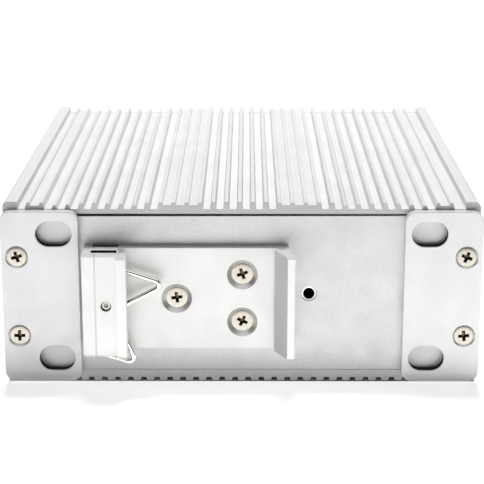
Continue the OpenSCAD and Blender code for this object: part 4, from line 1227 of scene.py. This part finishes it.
floor_mesh = bpy.data.meshes.new("floor")
F = 6.0
FLOOR_GLOW = 0.7
floor_mesh.from_pydata([(-F, -F, 0), (F, -F, 0), (F, F, 0), (-F, F, 0)], [], [(0, 1, 2, 3)])
floor = bpy.data.objects.new("floor", floor_mesh)
bpy.context.scene.collection.objects.link(floor)
floor.location.z = -0.0002
fm = bpy.data.materials.new("floor_white")
fm.use_nodes = True
ft = fm.node_tree
fb = ft.nodes["Principled BSDF"]
fb.inputs["Base Color"].default_value = (0.88, 0.88, 0.88, 1)
fb.inputs["Roughness"].default_value = 0.9
fb.inputs["Specular IOR Level"].default_value = 0.0
fb.inputs["Emission Color"].default_value = (1, 1, 1, 1)
glow = ft.nodes.new("ShaderNodeMath")
glow.operation = "MULTIPLY"
glow.inputs[1].default_value = FLOOR_GLOW
# The glow leaves out the ground right under the housing, which stays as dark as its own shadow makes it
place_at = ft.nodes.new("ShaderNodeTexCoord")
parts = ft.nodes.new("ShaderNodeSeparateXYZ")
ft.links.new(place_at.outputs["Object"], parts.inputs[0])


def floor_math(operation, a, b):
    n = ft.nodes.new("ShaderNodeMath")
    n.operation = operation
    for k, v in enumerate((a, b)):
        if isinstance(v, float):
            n.inputs[k].default_value = v
        elif v is not None:
            ft.links.new(v, n.inputs[k])
    return n.outputs[0]


out_x = floor_math("GREATER_THAN", floor_math("ABSOLUTE", parts.outputs["X"], None), HALF_W * MM)
out_y = floor_math("GREATER_THAN", floor_math("ABSOLUTE", parts.outputs["Y"], None), FRONT_Y * MM)
clear = floor_math("MAXIMUM", out_x, out_y)
ft.links.new(floor_math("MULTIPLY", clear, path_white(ft)), glow.inputs[0])
ft.links.new(glow.outputs[0], fb.inputs["Emission Strength"])
floor_mesh.materials.append(fm)


def area(name, location, target, size, power, size_y=None):
    data = bpy.data.lights.new(name, "AREA")
    data.energy = power
    data.size = size
    if size_y:
        data.shape = "RECTANGLE"
        data.size_y = size_y
    obj = bpy.data.objects.new(name, data)
    bpy.context.scene.collection.objects.link(obj)
    obj.location = location
    direction = Vector(target) - Vector(location)
    obj.rotation_euler = direction.to_track_quat("-Z", "Y").to_euler()
    return obj


def ring_wall(radius, height, n=64):
    """A plain upright wall around the stage, which only mirror-like surfaces see."""
    pts = arc(0, 0, radius, 190, 350, n)
    verts = [(x, y, 0.0) for x, y in pts] + [(x, y, height) for x, y in pts]
    mesh = bpy.data.meshes.new("dark_surround")
    mesh.from_pydata(verts, [], [(k, k + 1, n + 2 + k, n + 1 + k) for k in range(n)])
    obj = bpy.data.objects.new("dark_surround", mesh)
    bpy.context.scene.collection.objects.link(obj)
    mat = bpy.data.materials.new("surround_grey")
    mat.use_nodes = True
    bsdf = mat.node_tree.nodes["Principled BSDF"]
    bsdf.inputs["Base Color"].default_value = (0.03, 0.03, 0.03, 1)
    bsdf.inputs["Roughness"].default_value = 1.0
    mesh.materials.append(mat)
    obj.visible_camera = False
    obj.visible_diffuse = False
    obj.visible_shadow = False
    obj.visible_transmission = False
    return obj


ring_wall(1.7, 1.5)
OVERHEAD_AT = (0.0, 0.19, 0.85)
OVERHEAD_SIZE = 0.22
OVERHEAD_POWER = 6.2
overhead = area("overhead", OVERHEAD_AT, (0, -0.02, 0), OVERHEAD_SIZE, OVERHEAD_POWER)
# Mirror reflections show the white surroundings alone, without a hot spot of this lamp
overhead.visible_glossy = False
# Four strips that lie on the floor around the object and shine up at its sides: centre, turn and size
BOUNCE_GAP = 0.0035
BOUNCE_W = 0.3
SIDE_X = HALF_W * MM + BOUNCE_GAP + BOUNCE_W / 2
END_Y = -REAR_Y * MM + BOUNCE_GAP + BOUNCE_W / 2
for name, x, y, turn, width, length, power in (
    ("bounce_rear", 0.14, -END_Y + 0.0042, -5.0, 0.8, BOUNCE_W, 0.66),
    ("bounce_front", 0.0, END_Y, 0.0, 0.8, BOUNCE_W, 0.12),
    ("bounce_left", -SIDE_X, 0.2, 0.0, BOUNCE_W, 0.5, 0.14),
    ("bounce_right", SIDE_X, 0.2, 0.0, BOUNCE_W, 0.5, 0.14),
):
    strip = area(name, (x, y, 0.0005), (x, y, 1.0), width, power, length)
    strip.rotation_euler.rotate_axis("Z", math.radians(turn))

# ---------------------------------------------------------------- camera
CAM_POS = Vector((1.2, REAR_Y - 323.6, 125.5)) * MM
PITCH = math.radians(16.11)
YAW = math.radians(-0.2)
FOCAL_PX = 1552.0
IMAGE_PX = 484.0
cam_data = bpy.data.cameras.new("camera")
cam_data.sensor_width = 36.0
cam_data.lens = FOCAL_PX / IMAGE_PX * cam_data.sensor_width
cam_data.clip_start = 0.01
cam_data.clip_end = 20.0
cam = bpy.data.objects.new("camera", cam_data)
bpy.context.scene.collection.objects.link(cam)
forward = Vector((math.sin(YAW) * math.cos(PITCH), math.cos(YAW) * math.cos(PITCH), -math.sin(PITCH)))
right = Vector((math.cos(YAW), -math.sin(YAW), 0))
up = right.cross(forward)
cam.matrix_world = Matrix.Translation(CAM_POS) @ Matrix((right, up, -forward)).transposed().to_4x4()
bpy.context.scene.camera = cam
bpy.context.scene.view_settings.view_transform = "Standard"
